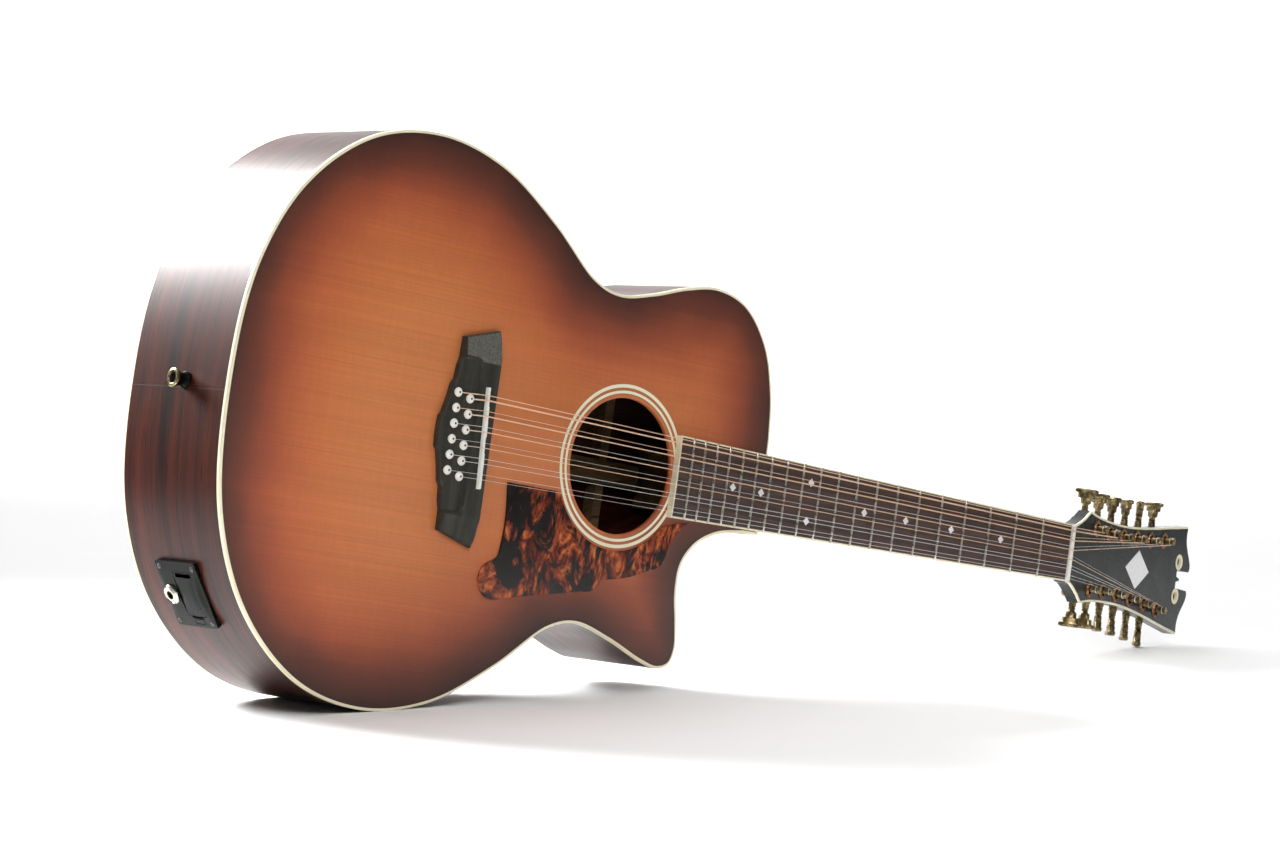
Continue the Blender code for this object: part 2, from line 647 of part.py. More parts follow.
def tuner_post(name, head, x, z):
    """String post and gear on one axle, turning about its own Y axis."""
    rim = POST_RADIUS + 0.0005
    profile = [(POST_TOP, rim), (POST_TOP + 0.0018, rim), (POST_TOP + 0.0022, POST_RADIUS),
               (GEAR_FRONT - GAP, POST_RADIUS), (GEAR_FRONT, GEAR_RADIUS), (GEAR_BACK, GEAR_RADIUS)]
    add(name, turned(profile, 8), "aged_brass", head, (x, 0, z))


def six_sided(wide, corner, thick, along):
    """A ring of six points: its two ends at plus and minus wide, and a flat side on each face."""
    return [(wide, 0, along), (corner, thick, along), (-corner, thick, along),
            (-wide, 0, along), (-corner, -thick, along), (corner, -thick, along)]


def tuner_button(name, head, x, z, sign, turn):
    """Worm, shaft and a button in three steps that widen outwards, turning about its own Z axis."""
    tip = BUTTON_REACH
    shaft_end = tip - BUTTON_STEPS[0][0] - 0.0004
    rounds = [(-WORM_HALF_LENGTH, WORM_RADIUS), (WORM_HALF_LENGTH, WORM_RADIUS),
              (WORM_HALF_LENGTH + 0.0002, SHAFT_RADIUS), (shaft_end, SHAFT_RADIUS)]
    rings = [six_sided(radius, radius / 2, radius * cos(pi / 6), sign * along) for along, radius in rounds]
    for inside, wide, thick in BUTTON_STEPS:
        rings.append(six_sided(wide, wide - BUTTON_CORNER, thick, sign * (tip - inside)))
    add(name, loft(rings), "aged_brass", head, (x + WORM_OFFSET, WORM_Y, z), (0, 0, radians(turn)))


def machine_plate(name, head, places):
    """Six gear housings on a strip with an ear by the nut, open in front, with a bore for each shaft."""
    middle = [(EAR_PLACE[0], places[0][2] * EAR_PLACE[1])] + [(x, z) for *_, x, z in places]
    strip = [(x, z + STRIP_HALF_WIDTH) for x, z in middle]
    strip += [(x, z - STRIP_HALF_WIDTH) for x, z in reversed(middle)]
    piece = add(name, plate([strip], PLATE_FRONT, PLATE_BACK), "aged_brass", head)
    outer, cavity, bore = [], [], []
    side = HOUSING_SIDE_WALL
    for _, _, sign, _, x, z in places:
        low, high = x - HOUSING_REACH[0], x + HOUSING_REACH[1]
        wide = HOUSING_HALF_WIDTH
        outer.append(((low, PLATE_FRONT, z - wide), (high, HOUSING_BACK, z + wide)))
        low, high, wide = low + HOUSING_END_WALL, high - HOUSING_END_WALL, wide - side
        cavity.append(((low, PLATE_FRONT - CUT_PAST, z - wide), (high, HOUSING_BACK - side, z + wide)))
        low, high = sorted((z + sign * (wide - side), z + sign * (HOUSING_HALF_WIDTH + side)))
        reach = SHAFT_RADIUS + GAP
        worm = x + WORM_OFFSET
        bore.append(((worm - reach, WORM_Y - reach, low), (worm + reach, WORM_Y + reach, high)))
    boolean(piece, guide(f"{name}_housings", boxes(outer), head), "UNION")
    boolean(piece, guide(f"{name}_cavities", boxes(cavity), head), "DIFFERENCE")
    boolean(piece, guide(f"{name}_bores", boxes(bore), head), "DIFFERENCE")


def tuners(head):
    places = list(post_places())
    for label, side, sign, i, x, z in places:
        tuner_post(f"tuner_post_{label}", head, x, z)
        tuner_button(f"tuner_button_{label}", head, x, z, sign, BUTTON_TURN[side][i])
    machine_plate("machine_plate_bass", head, places[:6])
    machine_plate("machine_plate_treble", head, places[6:])


# ---------------------------------------------------------------- strings

def on_headstock(x, y, z):
    """A point of the headstock's frame in the guitar's frame."""
    return (HEAD_ORIGIN[0] + x * cos(HEAD_TILT) - y * sin(HEAD_TILT),
            HEAD_ORIGIN[1] + x * sin(HEAD_TILT) + y * cos(HEAD_TILT), z)


def string_route(order, radius, pin, post):
    """From its pin over the saddle and the nut, then round its post; order counts from the bass side."""
    course, member = divmod(order, 2)
    lean = 1 if member == 0 else -1
    at_saddle = SADDLE_COURSE - SADDLE_PITCH * course + lean * SADDLE_PAIR
    at_nut = NUT_COURSE - NUT_PITCH * course + lean * NUT_PAIR
    bass, treble = (Vector(end) for end in SADDLE_ENDS)
    saddle_x = bass.lerp(treble, (bass.y - at_saddle) / (bass.y - treble.y)).x
    start_x = pin[0] + PIN_RADIUS + radius + 2 * GAP
    share = (start_x - pin[0]) / (saddle_x - pin[0])
    over_saddle = SADDLE_TOP - radius - GAP
    over_nut = NUT_TOP - radius - GAP
    route = [(start_x, PIN_TOP + 0.0004, pin[1] + (at_saddle - pin[1]) * share),
             (saddle_x - SADDLE_THICK * 0.6, over_saddle, at_saddle),
             (saddle_x + SADDLE_THICK * 0.6, over_saddle, at_saddle),
             (NUT_X - 0.001, over_nut, at_nut),
             (NUT_X + NUT_THICK, over_nut, at_nut)]
    sign = 1 if order < 6 else -1
    # The wrap is drawn in straight runs, so its corners stand out for their middles to clear the post
    wrap = (POST_RADIUS + radius + GAP) / cos(pi / POINTS_PER_TURN)
    post_x, post_z = post
    nut_x = (NUT_X + NUT_THICK - HEAD_ORIGIN[0]) / cos(HEAD_TILT)
    heading = atan2(post_z - sign * wrap - at_nut, post_x - nut_x)
    first = heading - sign * pi / 2
    for i in range(WRAP_POINTS):
        angle = first + sign * i * 2 * pi / POINTS_PER_TURN
        height = WRAP_START + i * (2.3 * radius + 0.0001) / POINTS_PER_TURN
        route.append(on_headstock(post_x + wrap * cos(angle), height, post_z + wrap * sin(angle)))
    return route


def strings(stance):
    radii = [thick / 1000 for course in COURSES for thick in course]
    pins = pin_places()
    posts = {"bass": list(zip(POST_X, POST_Z)), "treble": list(zip(POST_X, [-z for z in POST_Z]))}
    for order, radius in enumerate(radii):
        post = posts["bass"][order] if order < 6 else posts["treble"][11 - order]
        curve = bpy.data.curves.new(f"string_{order + 1}", "CURVE")
        curve.dimensions = "3D"
        curve.bevel_depth = radius
        curve.bevel_resolution = 1
        curve.use_fill_caps = True
        spline = curve.splines.new("POLY")
        route = string_route(order, radius, pins[order], post)
        spline.points.add(len(route) - 1)
        for point, place in zip(spline.points, route):
            point.co = (*place, 1)
        add(f"string_{order + 1}", curve, "bronze_string" if radius > 0.0002 else "steel_string", stance)


# ---------------------------------------------------------------- tail fittings

def strap_button(stance):
    place = (0, STRAP_Y, STRAP_Z)
    add("strap_button", turned(STRAP_PROFILE, 12), "nickel", stance, place, (0, 0, radians(-90)))


def jack_plate(stance):
    panel = rim_panel(PANEL_ARC, PANEL_Y, GAP, GAP + PANEL_THICK, 7)
    piece = add("jack_plate", panel, "black_plastic", stance)
    tray_frame = rim_frame("battery_frame", rim_matrix(sum(DOOR_ARC) / 2, sum(DOOR_Y) / 2), stance)
    long, deep, high = BATTERY
    wall = TRAY_WALL
    outer = guide("tray_outer", box((-long / 2 - wall, -deep - wall, -high / 2 - wall),
                                    (long / 2 + wall, 0.0006, high / 2 + wall)), tray_frame)
    hollow = guide("tray_hollow", box((-long / 2, -deep, -high / 2), (long / 2, 0.010, high / 2)), tray_frame)
    opening = guide("tray_opening", box((-long / 2 - wall - GAP, -0.012, -high / 2 - wall - GAP),
                                        (long / 2 + wall + GAP, 0.005, high / 2 + wall + GAP)), tray_frame)
    jack_frame = rim_frame("jack_frame", rim_matrix(JACK_ARC, JACK_Y), stance)
    clear = JACK_BARREL + 2 * GAP
    jack_hole = guide("jack_hole", turned([(-0.012, clear), (0.006, clear)], 12), jack_frame)
    boolean(piece, outer, "UNION")
    boolean(piece, hollow, "DIFFERENCE")
    boolean(piece, jack_hole, "DIFFERENCE")
    arcs, depths = ((low - DOOR_PLAY, high + DOOR_PLAY) for low, high in (DOOR_ARC, DOOR_Y))
    rebate = rim_panel(arcs, depths, DOOR_LOW - GAP, DOOR_HIGH + CUT_PAST, 4)
    boolean(piece, guide("door_rebate", rebate, stance), "DIFFERENCE")
    side = bpy.data.objects["treble_side"]
    boolean(side, opening, "DIFFERENCE")
    boolean(side, jack_hole, "DIFFERENCE")

    add("output_jack", turned(JACK_PROFILE, 12), "nickel", jack_frame)


def battery_door(stance):
    """The door lies flush in the jack plate; its hinge runs in the surface, by its edge nearest the seam."""
    place = rim_matrix(DOOR_ARC[0] - HINGE_OFFSET, sum(DOOR_Y) / 2, DOOR_HIGH)
    hinge = rim_frame("door_hinge", place, stance)
    door = rim_panel(DOOR_ARC, DOOR_Y, DOOR_LOW, DOOR_HIGH, 4)
    bmesh.ops.transform(door, matrix=place.inverted(), verts=door.verts[:])
    add("battery_door", door, "black_plastic", hinge)


# ---------------------------------------------------------------- stance

def stance_angle(pieces):
    """The tip about Y that brings the last treble button down to the height of the lower bout's edge."""
    button = [piece for piece in pieces if piece.name == "tuner_button_treble_6"]
    rim = [piece for piece in pieces if piece.name == "treble_side"]
    low, high = radians(4), radians(14)
    for _ in range(40):
        angle = (low + high) / 2
        drop = [min(z * cos(angle) - x * sin(angle) for x, _, z in corners(group)) for group in (button, rim)]
        if drop[0] > drop[1]:
            low = angle
        else:
            high = angle
    return (low + high) / 2


def corners(pieces):
    """Every vertex of the finished pieces, in the scene's frame."""
    depsgraph = bpy.context.evaluated_depsgraph_get()
    places = []
    for piece in pieces:
        shape = piece.evaluated_get(depsgraph)
        places += [shape.matrix_world @ vertex.co for vertex in shape.to_mesh().vertices]
        shape.to_mesh_clear()
    return places


def stand(stance):
    """Tip the guitar and put the bottom centre of its box at the origin."""
    shown = {"MESH", "CURVE"}
    pieces = [piece for piece in bpy.data.objects if piece.type in shown and not piece.hide_render]
    bpy.context.view_layer.update()
    stance.rotation_euler = (0, stance_angle(pieces), 0)
    bpy.context.view_layer.update()
    places = corners(pieces)
    low = [min(place[axis] for place in places) for axis in range(3)]
    high = [max(place[axis] for place in places) for axis in range(3)]
    stance.location = (-(low[0] + high[0]) / 2, -(low[1] + high[1]) / 2, -low[2])
    bpy.context.view_layer.update()


def main():
    for item in list(bpy.data.objects):
        bpy.data.objects.remove(item, do_unlink=True)
    stance = bpy.data.objects.new("stance", None)
    bpy.context.collection.objects.link(stance)
    head = bpy.data.objects.new("headstock_frame", None)
    bpy.context.collection.objects.link(head)
    head.parent = stance
    head.location = (HEAD_ORIGIN[0], HEAD_ORIGIN[1], 0)
    head.rotation_euler = (0, 0, HEAD_TILT)

    body(stance)
    blocks_and_braces(stance)
    pickguard(stance)
    bridge(stance)
    fingerboard(stance)
    neck_and_headstock(stance, head)
    tuners(head)
    strings(stance)
    strap_button(stance)
    jack_plate(stance)
    battery_door(stance)
    stand(stance)


main()
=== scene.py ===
"""The looks of a twelve-string guitar with a cutaway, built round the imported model.

Shapes are made in the guitar's own frame and placed by STANCE: +X runs from the tail to the head, y = 0 is
the soundboard's face with the back at +Y, and z = 0 is the middle of the neck with the bass side up.
"""

import json
from math import atan2, ceil, cos, pi, radians, sin, tau

import bmesh
import bpy
import numpy as np
from mathutils import Matrix, Vector
from mathutils.geometry import delaunay_2d_cdt


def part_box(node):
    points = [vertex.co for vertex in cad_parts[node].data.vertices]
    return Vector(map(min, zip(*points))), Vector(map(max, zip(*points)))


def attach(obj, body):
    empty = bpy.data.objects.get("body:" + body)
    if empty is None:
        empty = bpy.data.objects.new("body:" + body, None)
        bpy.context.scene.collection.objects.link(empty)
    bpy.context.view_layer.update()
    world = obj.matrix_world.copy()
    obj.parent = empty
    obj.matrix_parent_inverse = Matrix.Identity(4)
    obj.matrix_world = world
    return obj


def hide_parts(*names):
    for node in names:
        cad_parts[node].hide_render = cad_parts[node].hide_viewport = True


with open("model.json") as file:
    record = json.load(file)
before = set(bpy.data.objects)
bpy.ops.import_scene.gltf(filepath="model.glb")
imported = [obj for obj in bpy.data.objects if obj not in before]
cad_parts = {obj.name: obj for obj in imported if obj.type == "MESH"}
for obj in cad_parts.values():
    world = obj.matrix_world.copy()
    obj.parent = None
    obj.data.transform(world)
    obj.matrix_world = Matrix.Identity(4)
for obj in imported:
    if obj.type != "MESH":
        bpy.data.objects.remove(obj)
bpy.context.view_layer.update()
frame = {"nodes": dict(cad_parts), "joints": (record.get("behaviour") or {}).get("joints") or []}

JOINTS = {joint["name"]: joint for joint in frame["joints"]}

# ---------------------------------------------------------------- sizes, in metres

ROOM_LIGHT = 0.12
FLOOR_PLACE = (0.62, 0.82, 0)
FLOOR_REACH = 2.1
FLOOR_TURN = 47
FLOOR_SHARE = 0.62
BACKDROP_REACH = 2.4
LENS_MM = 99.46
SENSOR_MM = 36
BACKDROP_GLOW = 1.15
PAPER_ROUGHNESS = 0.9
# Each lamp's place, where it aims, its width and height, its power in watts and its spread in degrees
LAMPS = {"overhead": ((0.5, 0.3, 2.4), (0.3, 0.1, 0), (3.0, 2.4), 44, 180),
         "tail_softbox": ((-0.75, 1.35, 1.10), (-0.5, 0, 0.20), (1.1, 0.9), 14, 45),
         "front_fill": ((-1.5, -2.2, 2.0), (0, 0, 0.2), (1.5, 1.1), 36, 180)}

HAIR = 0.00003
# Points closer than this are welded, in space and when a face is filled
WELD = 1e-6
MERGE_2D = 1e-7
# A filled face's grid keeps this share of its pitch clear of the edges
EDGE_CLEARANCE = 0.45
ROWS_AT_ONCE = 1500
# Faces that meet at less than this are one flat face
FLAT_ANGLE = radians(0.5)
# How far a face's normal has to lean along Y to count as facing that way
FACING = 0.7
FINE_PITCH = 0.0060
COARSE_PITCH = 0.0120
ROUND_SIDES = 128
RING_SIDES = 40
SCALE_LENGTH = 0.6477
FRET_COUNT = 20
NUT_X = 0.8718
NUT_THICK = 0.0055
NUT_TOP = -0.0082
BOARD_TOP = -0.0060
BOARD_END_X = 0.4148
BOARD_RADIUS = 0.90
BOARD_BINDING = 0.0012
HALF_WIDTH_NUT = 0.0238
HALF_WIDTH_END = 0.0307
FRET_HEIGHT = 0.0010
FRET_WIDTH = 0.0021
FRET_DRESS = 0.0006
FRET_STEPS = 12
INLAY_SPACES = {3: (0,), 5: (0,), 7: (0,), 9: (0,), 12: (-0.0150, 0.0150), 15: (0,), 17: (0,)}
INLAY_REACH = 0.0034
HEEL_DEPTH = 0.088
HEEL_LENGTH = 0.070
HEEL_POWER = 2.4
HEEL_RINGS = 24
HEEL_CROWDING = 1.4
SHAFT_RINGS = 16
SHAFT_DEPTH_NUT = 0.0145
SHAFT_DEPTH_HEEL = 0.0175
NECK_END_X = 0.8835
NECK_END_TOP = 0.0032

BODY_LENGTH = 0.5126
BODY_OFFSET = 0.0024
OUTLINE_STEP = 0.0018
DEPTH_TAIL = 0.114
DEPTH_NECK = 0.100
PLATE_THICK = 0.0030
BINDING_WIDTH = 0.0021
BINDING_DEPTH = 0.0030
BINDING_ROUND = 0.0009
WALL_THICK = 0.0025
LINING_WIDTH = 0.0085
LINING_DEPTH = 0.0130
BACK_STRIP = 0.0030
HOLE_X = 0.3628
HOLE_RADIUS = 0.0504
HOLE_ROUND = 0.0007
ROSETTE_THICK = 0.0009
# The rosette's rings from the inside out: name, outer radius, material
ROSETTE_START = 0.0535
ROSETTE = (("line_1", 0.0537, "black_line"), ("inner", 0.0559, "cream"), ("line_2", 0.0561, "black_line"),
           ("middle", 0.0578, "spruce"), ("line_3", 0.0580, "black_line"), ("outer", 0.0607, "cream"),
           ("line_4", 0.0609, "black_line"))
ROSETTE_END = ROSETTE[-1][1]

GUARD_THICK = 0.0011
GUARD_GAP = 0.0016
GUARD_SWEEP = -38

BRIDGE_TOP = -0.0083
RECESS_FLOOR = -0.0055
BRIDGE_STEP = 0.0008
BRIDGE_PITCH = 0.0009
PIN_COLUMNS = (0.1928, 0.2043)
FIRST_PIN_Z = (0.0290, 0.0260)
PIN_PITCH = 0.0111
PIN_RADIUS = 0.0034
PIN_TOP = -0.0088
SADDLE_ENDS = ((0.2176, 0.0362), (0.2213, -0.0362))
SADDLE_THICK = 0.0026
SADDLE_TOP = -0.0118
SADDLE_FOOT = -0.0050

COURSES = ((0.34, 0.60), (0.23, 0.50), (0.16, 0.38), (0.11, 0.29), (0.18, 0.18), (0.13, 0.13))
WOUND_FROM = 0.0002
SADDLE_COURSE = 0.0285
SADDLE_PITCH = 0.0112
SADDLE_PAIR = 0.0018
NUT_COURSE = 0.0200
NUT_PITCH = 0.0080
NUT_PAIR = 0.0014
WRAP_START = -0.0074
WRAP_TURNS = 1.4
PLAIN_WRAP_TURNS = 2
WRAP_STEPS = 20
# The way along the post in one turn, as a multiple of the string's radius
WRAP_PITCH = 2.2

HEAD_TILT = radians(15)
HEAD_ORIGIN = (0.8776, -0.0023)
HEAD_THICK = 0.0122
VENEER_THICK = 0.0020
HEAD_BINDING = 0.0019
POST_X = (0.0472, 0.0738, 0.1020, 0.1305, 0.1600, 0.1890)
POST_Z = (0.0258, 0.0248, 0.0250, 0.0262, 0.0280, 0.0305)
POST_RADIUS = 0.0027
POST_TOP = -0.0105
POST_HOLE_RADIUS = 0.0041
WASHER_RADIUS = 0.0070
GEAR_RADIUS = 0.0055
GEAR_FRONT = 0.0152
GEAR_BACK = 0.0196
GEAR_TEETH = 14
TOOTH_DEPTH = 0.0009
WORM_RADIUS = 0.0025
WORM_HALF_LENGTH = 0.0058
WORM_PITCH = 0.0024
WORM_SLICE = 0.0004
THREAD_DEPTH = 0.0007
BUTTON_SIDES = 36
WORM_OFFSET = 0.0084
WORM_Y = 0.0174
SHAFT_RADIUS = 0.0020
BUTTON_REACH = 0.0335
BUTTON_TURN = {"bass": (114, 84, 64, 54, 24, 74), "treble": (114, 94, 34, 36, 30, 26)}
HOUSING_FRONT = HEAD_THICK + 0.0001
HOUSING_BACK = 0.0228
HOUSING_REACH = (0.0070, 0.0126)
HOUSING_HALF_WIDTH = 0.0082
HOUSING_WALL = 0.0012
HOUSING_ROUND = 0.0022
HOUSING_CORNER = 0.0026
EYELET_PLACE = (0.2276, 0.0152)
EYELET_HOLE = 0.0043
EYELET_BORE = 0.0049
EYELET_RADIUS = 0.0071
ORNAMENT_X = 0.1400

SLAB_PITCH = 0.0040
PANEL_ARC = (0.1220, 0.1716)
PANEL_Y = (0.0350, 0.0812)
PANEL_THICK = 0.0033
PANEL_LIFT = 0.0003
DOOR_ARC = (0.1292, 0.1622)
DOOR_Y = (0.0425, 0.0630)
DOOR_LOW = 0.0028
DOOR_HIGH = 0.0036
DOOR_PLAY = 0.0004
BATTERY = (0.0275, 0.0500, 0.0183)
TRAY_WALL = 0.0016
JACK_ARC = 0.1462
JACK_Y = 0.0712
JACK_HOLE = 0.0054
# How far the cutters for the tray and the jack reach into and out of the side
CUT_REACH = 0.012
CUT_OUT = 0.005

LOWER_BOUT = ((0.009, 0.085), (0.040, 0.1475), (0.092, 0.190), (0.152, 0.2035), (0.2125, 0.1925),
              (0.268, 0.1615), (0.3135, 0.1285), (0.339, 0.1222))
UPPER_BOUT = ((0.372, 0.1308), (0.405, 0.1410), (0.437, 0.1463), (0.4688, 0.1382), (0.4945, 0.1120),
              (0.5075, 0.0777), (0.5118, 0.0475), (BODY_LENGTH, 0.0290))
CUTAWAY = ((0.374, -0.1280), (0.409, -0.1405), (0.4265, -0.1440), (0.4385, -0.1395), (0.4430, -0.1270),
           (0.4405, -0.1075), (0.4362, -0.0862), (0.4372, -0.0650), (0.4480, -0.0490), (0.4680, -0.0375),
           (0.4920, -0.0330), (BODY_LENGTH, -0.0320))


def on_headstock(x, y, z):
    """A point of the headstock's frame in the guitar's frame."""
    return Vector((HEAD_ORIGIN[0] + x * cos(HEAD_TILT) - y * sin(HEAD_TILT),
                   HEAD_ORIGIN[1] + x * sin(HEAD_TILT) + y * cos(HEAD_TILT), z))


def stance_matrix():
    """The guitar's frame in the model's frame, from the first bass tuner's joint."""
    joint = JOINTS["bass_1_button_turn"]
    turn = Matrix.Rotation(atan2(joint["axis"][0], joint["axis"][2]), 4, "Y")
    worm = on_headstock(POST_X[0] + WORM_OFFSET, WORM_Y, POST_Z[0])
    return Matrix.Translation(Vector(joint["pos_m"]) - turn @ worm) @ turn


STANCE = stance_matrix()
HEAD = STANCE @ Matrix.Translation((*HEAD_ORIGIN, 0)) @ Matrix.Rotation(HEAD_TILT, 4, "Z")


def head_place(x, z, y=0):
    """A place in the headstock's frame."""
    return HEAD @ Matrix.Translation((x, y, z))


# ---------------------------------------------------------------- materials

def srgb(red, green, blue):
    """A colour given in 0 to 255 steps as the linear values that a shader takes."""
    linear = [((c / 255 + 0.055) / 1.055) ** 2.4 if c > 10 else c / 255 / 12.92 for c in (red, green, blue)]
    return (*linear, 1)


class Material:
    """A Principled material whose colour, roughness and bump come from node textures."""

    def __init__(self, name, **fixed):
        self.made = bpy.data.materials.new(name)
        self.made.use_nodes = True
        self.tree = self.made.node_tree
        self.shader = self.tree.nodes["Principled BSDF"]
        for socket, value in fixed.items():
            self.shader.inputs[socket.replace("_", " ").title().replace("Ior", "IOR")].default_value = value

    def put(self, socket, value):
        if hasattr(value, "is_output"):
            self.tree.links.new(value, socket)
        else:
            socket.default_value = value

    def node(self, kind, settings=None, **inputs):
        made = self.tree.nodes.new(kind)
        for key, value in (settings or {}).items():
            setattr(made, key, value)
        for key, value in inputs.items():
            self.put(made.inputs[int(key[1:]) if key[0] == "i" and key[1:].isdigit() else key], value)
        return made

    def grain(self):
        """Coordinates along the piece's own grain, in metres."""
        return self.node("ShaderNodeAttribute", {"attribute_name": "grain"}).outputs["Vector"]

    def around(self):
        return self.node("ShaderNodeTexCoord").outputs["Object"]

    def scaled(self, where, scale, place=(0, 0, 0)):
        made = self.node("ShaderNodeMapping", None, Vector=where, Scale=scale, Location=place)
        return made.outputs["Vector"]

    def noise(self, where, scale, detail=3.0, roughness=0.55, distortion=0.0):
        made = self.node("ShaderNodeTexNoise", None, Vector=where, Scale=scale, Detail=detail,
                         Roughness=roughness, Distortion=distortion)
        return made.outputs["Fac"]

    def math(self, operation, *values):
        made = self.node("ShaderNodeMath", {"operation": operation})
        for socket, value in zip(made.inputs, values):
            self.put(socket, value)
        return made.outputs["Value"]

    def span(self, value, low, high, to_low=0.0, to_high=1.0):
        """A value's part between low and high, spread over a new range."""
        made = self.node("ShaderNodeMapRange", {"interpolation_type": "SMOOTHSTEP"})
        for socket, number in zip(made.inputs, (value, low, high, to_low, to_high)):
            self.put(socket, number)
        return made.outputs["Result"]

    def ramp(self, value, *stops):
        """A colour ramp from (position, colour) stops."""
        made = self.node("ShaderNodeValToRGB", None, Fac=value)
        points = made.color_ramp.elements
        while len(points) < len(stops):
            points.new(1.0)
        for point, (position, colour) in zip(points, stops):
            point.position = position
            point.color = colour
        return made.outputs["Color"]

    def mix(self, factor, first, second, blend="MIX"):
        made = self.node("ShaderNodeMix", {"data_type": "RGBA", "blend_type": blend})
        for socket, value in zip((made.inputs[0], made.inputs[6], made.inputs[7]), (factor, first, second)):
            self.put(socket, value)
        return made.outputs[2]

    def finish(self, colour, roughness=None, height=None, depth=0.0001):
        self.put(self.shader.inputs["Base Color"], colour)
        if roughness is not None:
            self.put(self.shader.inputs["Roughness"], roughness)
        if height is not None:
            bump = self.node("ShaderNodeBump", None, Height=height, Distance=depth, Strength=1.0)
            self.put(self.shader.inputs["Normal"], bump.outputs["Normal"])
        return self.made


def sunburst():
    """Satin spruce with a burst that darkens towards the rim, book-matched about the centre seam."""
    m = Material("spruce_sunburst", Coat_weight=0.18, Coat_roughness=0.32)
    where = m.grain()
    edge = m.node("ShaderNodeAttribute", {"attribute_name": "edge"}).outputs["Fac"]
    cloud = m.noise(where, 9.0, 2.0)
    reach = m.math("ADD", edge, m.span(cloud, 0.3, 0.7, -0.006, 0.006))
    burst = m.ramp(m.math("DIVIDE", reach, 0.125),
                   (0.0, srgb(64, 32, 22)), (0.14, srgb(106, 50, 33)), (0.30, srgb(152, 72, 42)),
                   (0.48, srgb(183, 96, 53)), (0.72, srgb(197, 112, 60)), (1.0, srgb(202, 121, 68)))
    lines = m.noise(m.scaled(where, (4, 1, 900)), 1.0, 4.0, 0.6)
    wide = m.noise(m.scaled(where, (2, 1, 130)), 1.0, 2.0)
    silk = m.noise(m.scaled(where, (260, 1, 60)), 1.0, 2.0)
    shade = m.math("MULTIPLY", m.span(lines, 0.3, 0.7, 0.90, 1.05), m.span(wide, 0.3, 0.7, 0.96, 1.04))
    shade = m.math("MULTIPLY", shade, m.span(silk, 0.35, 0.7, 0.98, 1.03))
    tone = m.node("ShaderNodeCombineColor", None, Red=shade, Green=shade, Blue=shade).outputs["Color"]
    colour = m.mix(1.0, burst, tone, "MULTIPLY")
    return m.finish(colour, m.span(lines, 0.3, 0.7, 0.36, 0.46), lines, 0.00002)


def figured_wood(name, dark, light, ribbon, pores, roughness, along="grain", depth=0.00004, **fixed):
    """Wood with ribbons and open pores that run along X of its grain."""
    m = Material(name, **fixed)
    where = m.grain() if along == "grain" else m.around()
    bands = m.noise(m.scaled(where, (3.0, ribbon, ribbon)), 1.0, 3.0, 0.55, 0.4)
    fine = m.noise(m.scaled(where, (25, 700, 700)), 1.0, 3.0, 0.6)
    pore = m.noise(m.scaled(where, (pores, pores * 18, pores * 18)), 1.0, 1.0, 0.4)
    colour = m.ramp(bands, (0.30, dark), (0.70, light))
    colour = m.mix(m.span(fine, 0.35, 0.70, 0.0, 0.35), colour, dark)
    open_pore = m.span(pore, 0.60, 0.72)
    colour = m.mix(m.math("MULTIPLY", open_pore, 0.7), colour, srgb(12, 7, 6))
    height = m.math("SUBTRACT", m.math("MULTIPLY", fine, 0.3), open_pore)
    return m.finish(colour, m.span(fine, 0.3, 0.7, roughness - 0.05, roughness + 0.06), height, depth)


def tortoise():
    """Polished celluloid: near-black with small brown and orange flames."""
    m = Material("tortoise", Specular_IOR_Level=0.4)
    where = m.scaled(m.grain(), (1.0, 1.0, 0.62))
    flames = m.noise(where, 62.0, 6.0, 0.66, 2.4)
    islands = m.noise(m.scaled(where, (1, 1, 1), (0.31, 0, 0.17)), 40.0, 5.0, 0.62, 1.6)
    warm = m.ramp(flames, (0.36, srgb(40, 16, 12)), (0.46, srgb(98, 36, 20)), (0.56, srgb(168, 76, 34)),
                  (0.68, srgb(226, 130, 66)))
    colour = m.mix(m.span(islands, 0.44, 0.56), srgb(18, 14, 12), warm)
    return m.finish(colour, m.span(flames, 0.3, 0.7, 0.14, 0.22))


def tinted(name, main, other, scale, roughness, spread=0.05, depth=0.00002, **fixed):
    """A plain stuff whose colour and roughness drift a little, such as plastic, bone or paint."""
    m = Material(name, **fixed)
    where = m.around()
    cloud = m.noise(where, scale, 4.0)
    speck = m.noise(where, scale * 30, 2.0)
    return m.finish(m.ramp(cloud, (0.3, main), (0.7, other)),
                    m.span(cloud, 0.3, 0.7, roughness - spread, roughness + spread), speck, depth)


def metal(name, bright, dull, scale, roughness, patina=0.55):
    """Metal with a patina that settles in patches and leaves duller, rougher places."""
    m = Material(name, Metallic=1.0)
    where = m.around()
    patch = m.noise(where, scale, 5.0, 0.65)
    fine = m.noise(where, scale * 14, 3.0)
    cover = m.span(patch, patina - 0.15, patina + 0.15)
    return m.finish(m.mix(cover, bright, dull), m.span(patch, 0.35, 0.7, roughness, roughness + 0.22),
                    m.math("ADD", m.math("MULTIPLY", fine, 0.4), patch), 0.00002)


def winding(name, bright, dull, pitch):
    """Wire wound on a core: ridges round the string at an even pitch along it."""
    m = Material(name, Metallic=1.0)
    where = m.grain()
    along = m.node("ShaderNodeSeparateXYZ", None, Vector=where).outputs["X"]
    ridge = m.math("ABSOLUTE", m.math("SINE", m.math("MULTIPLY", along, pi / pitch)))
    # The colour falls to the darker one between the turns: painted shade in the grooves
    colour = m.mix(m.span(ridge, 0.0, 0.7), dull, bright)
    return m.finish(colour, m.span(m.noise(where, 60.0), 0.3, 0.7, 0.28, 0.42), ridge, pitch * 0.25)


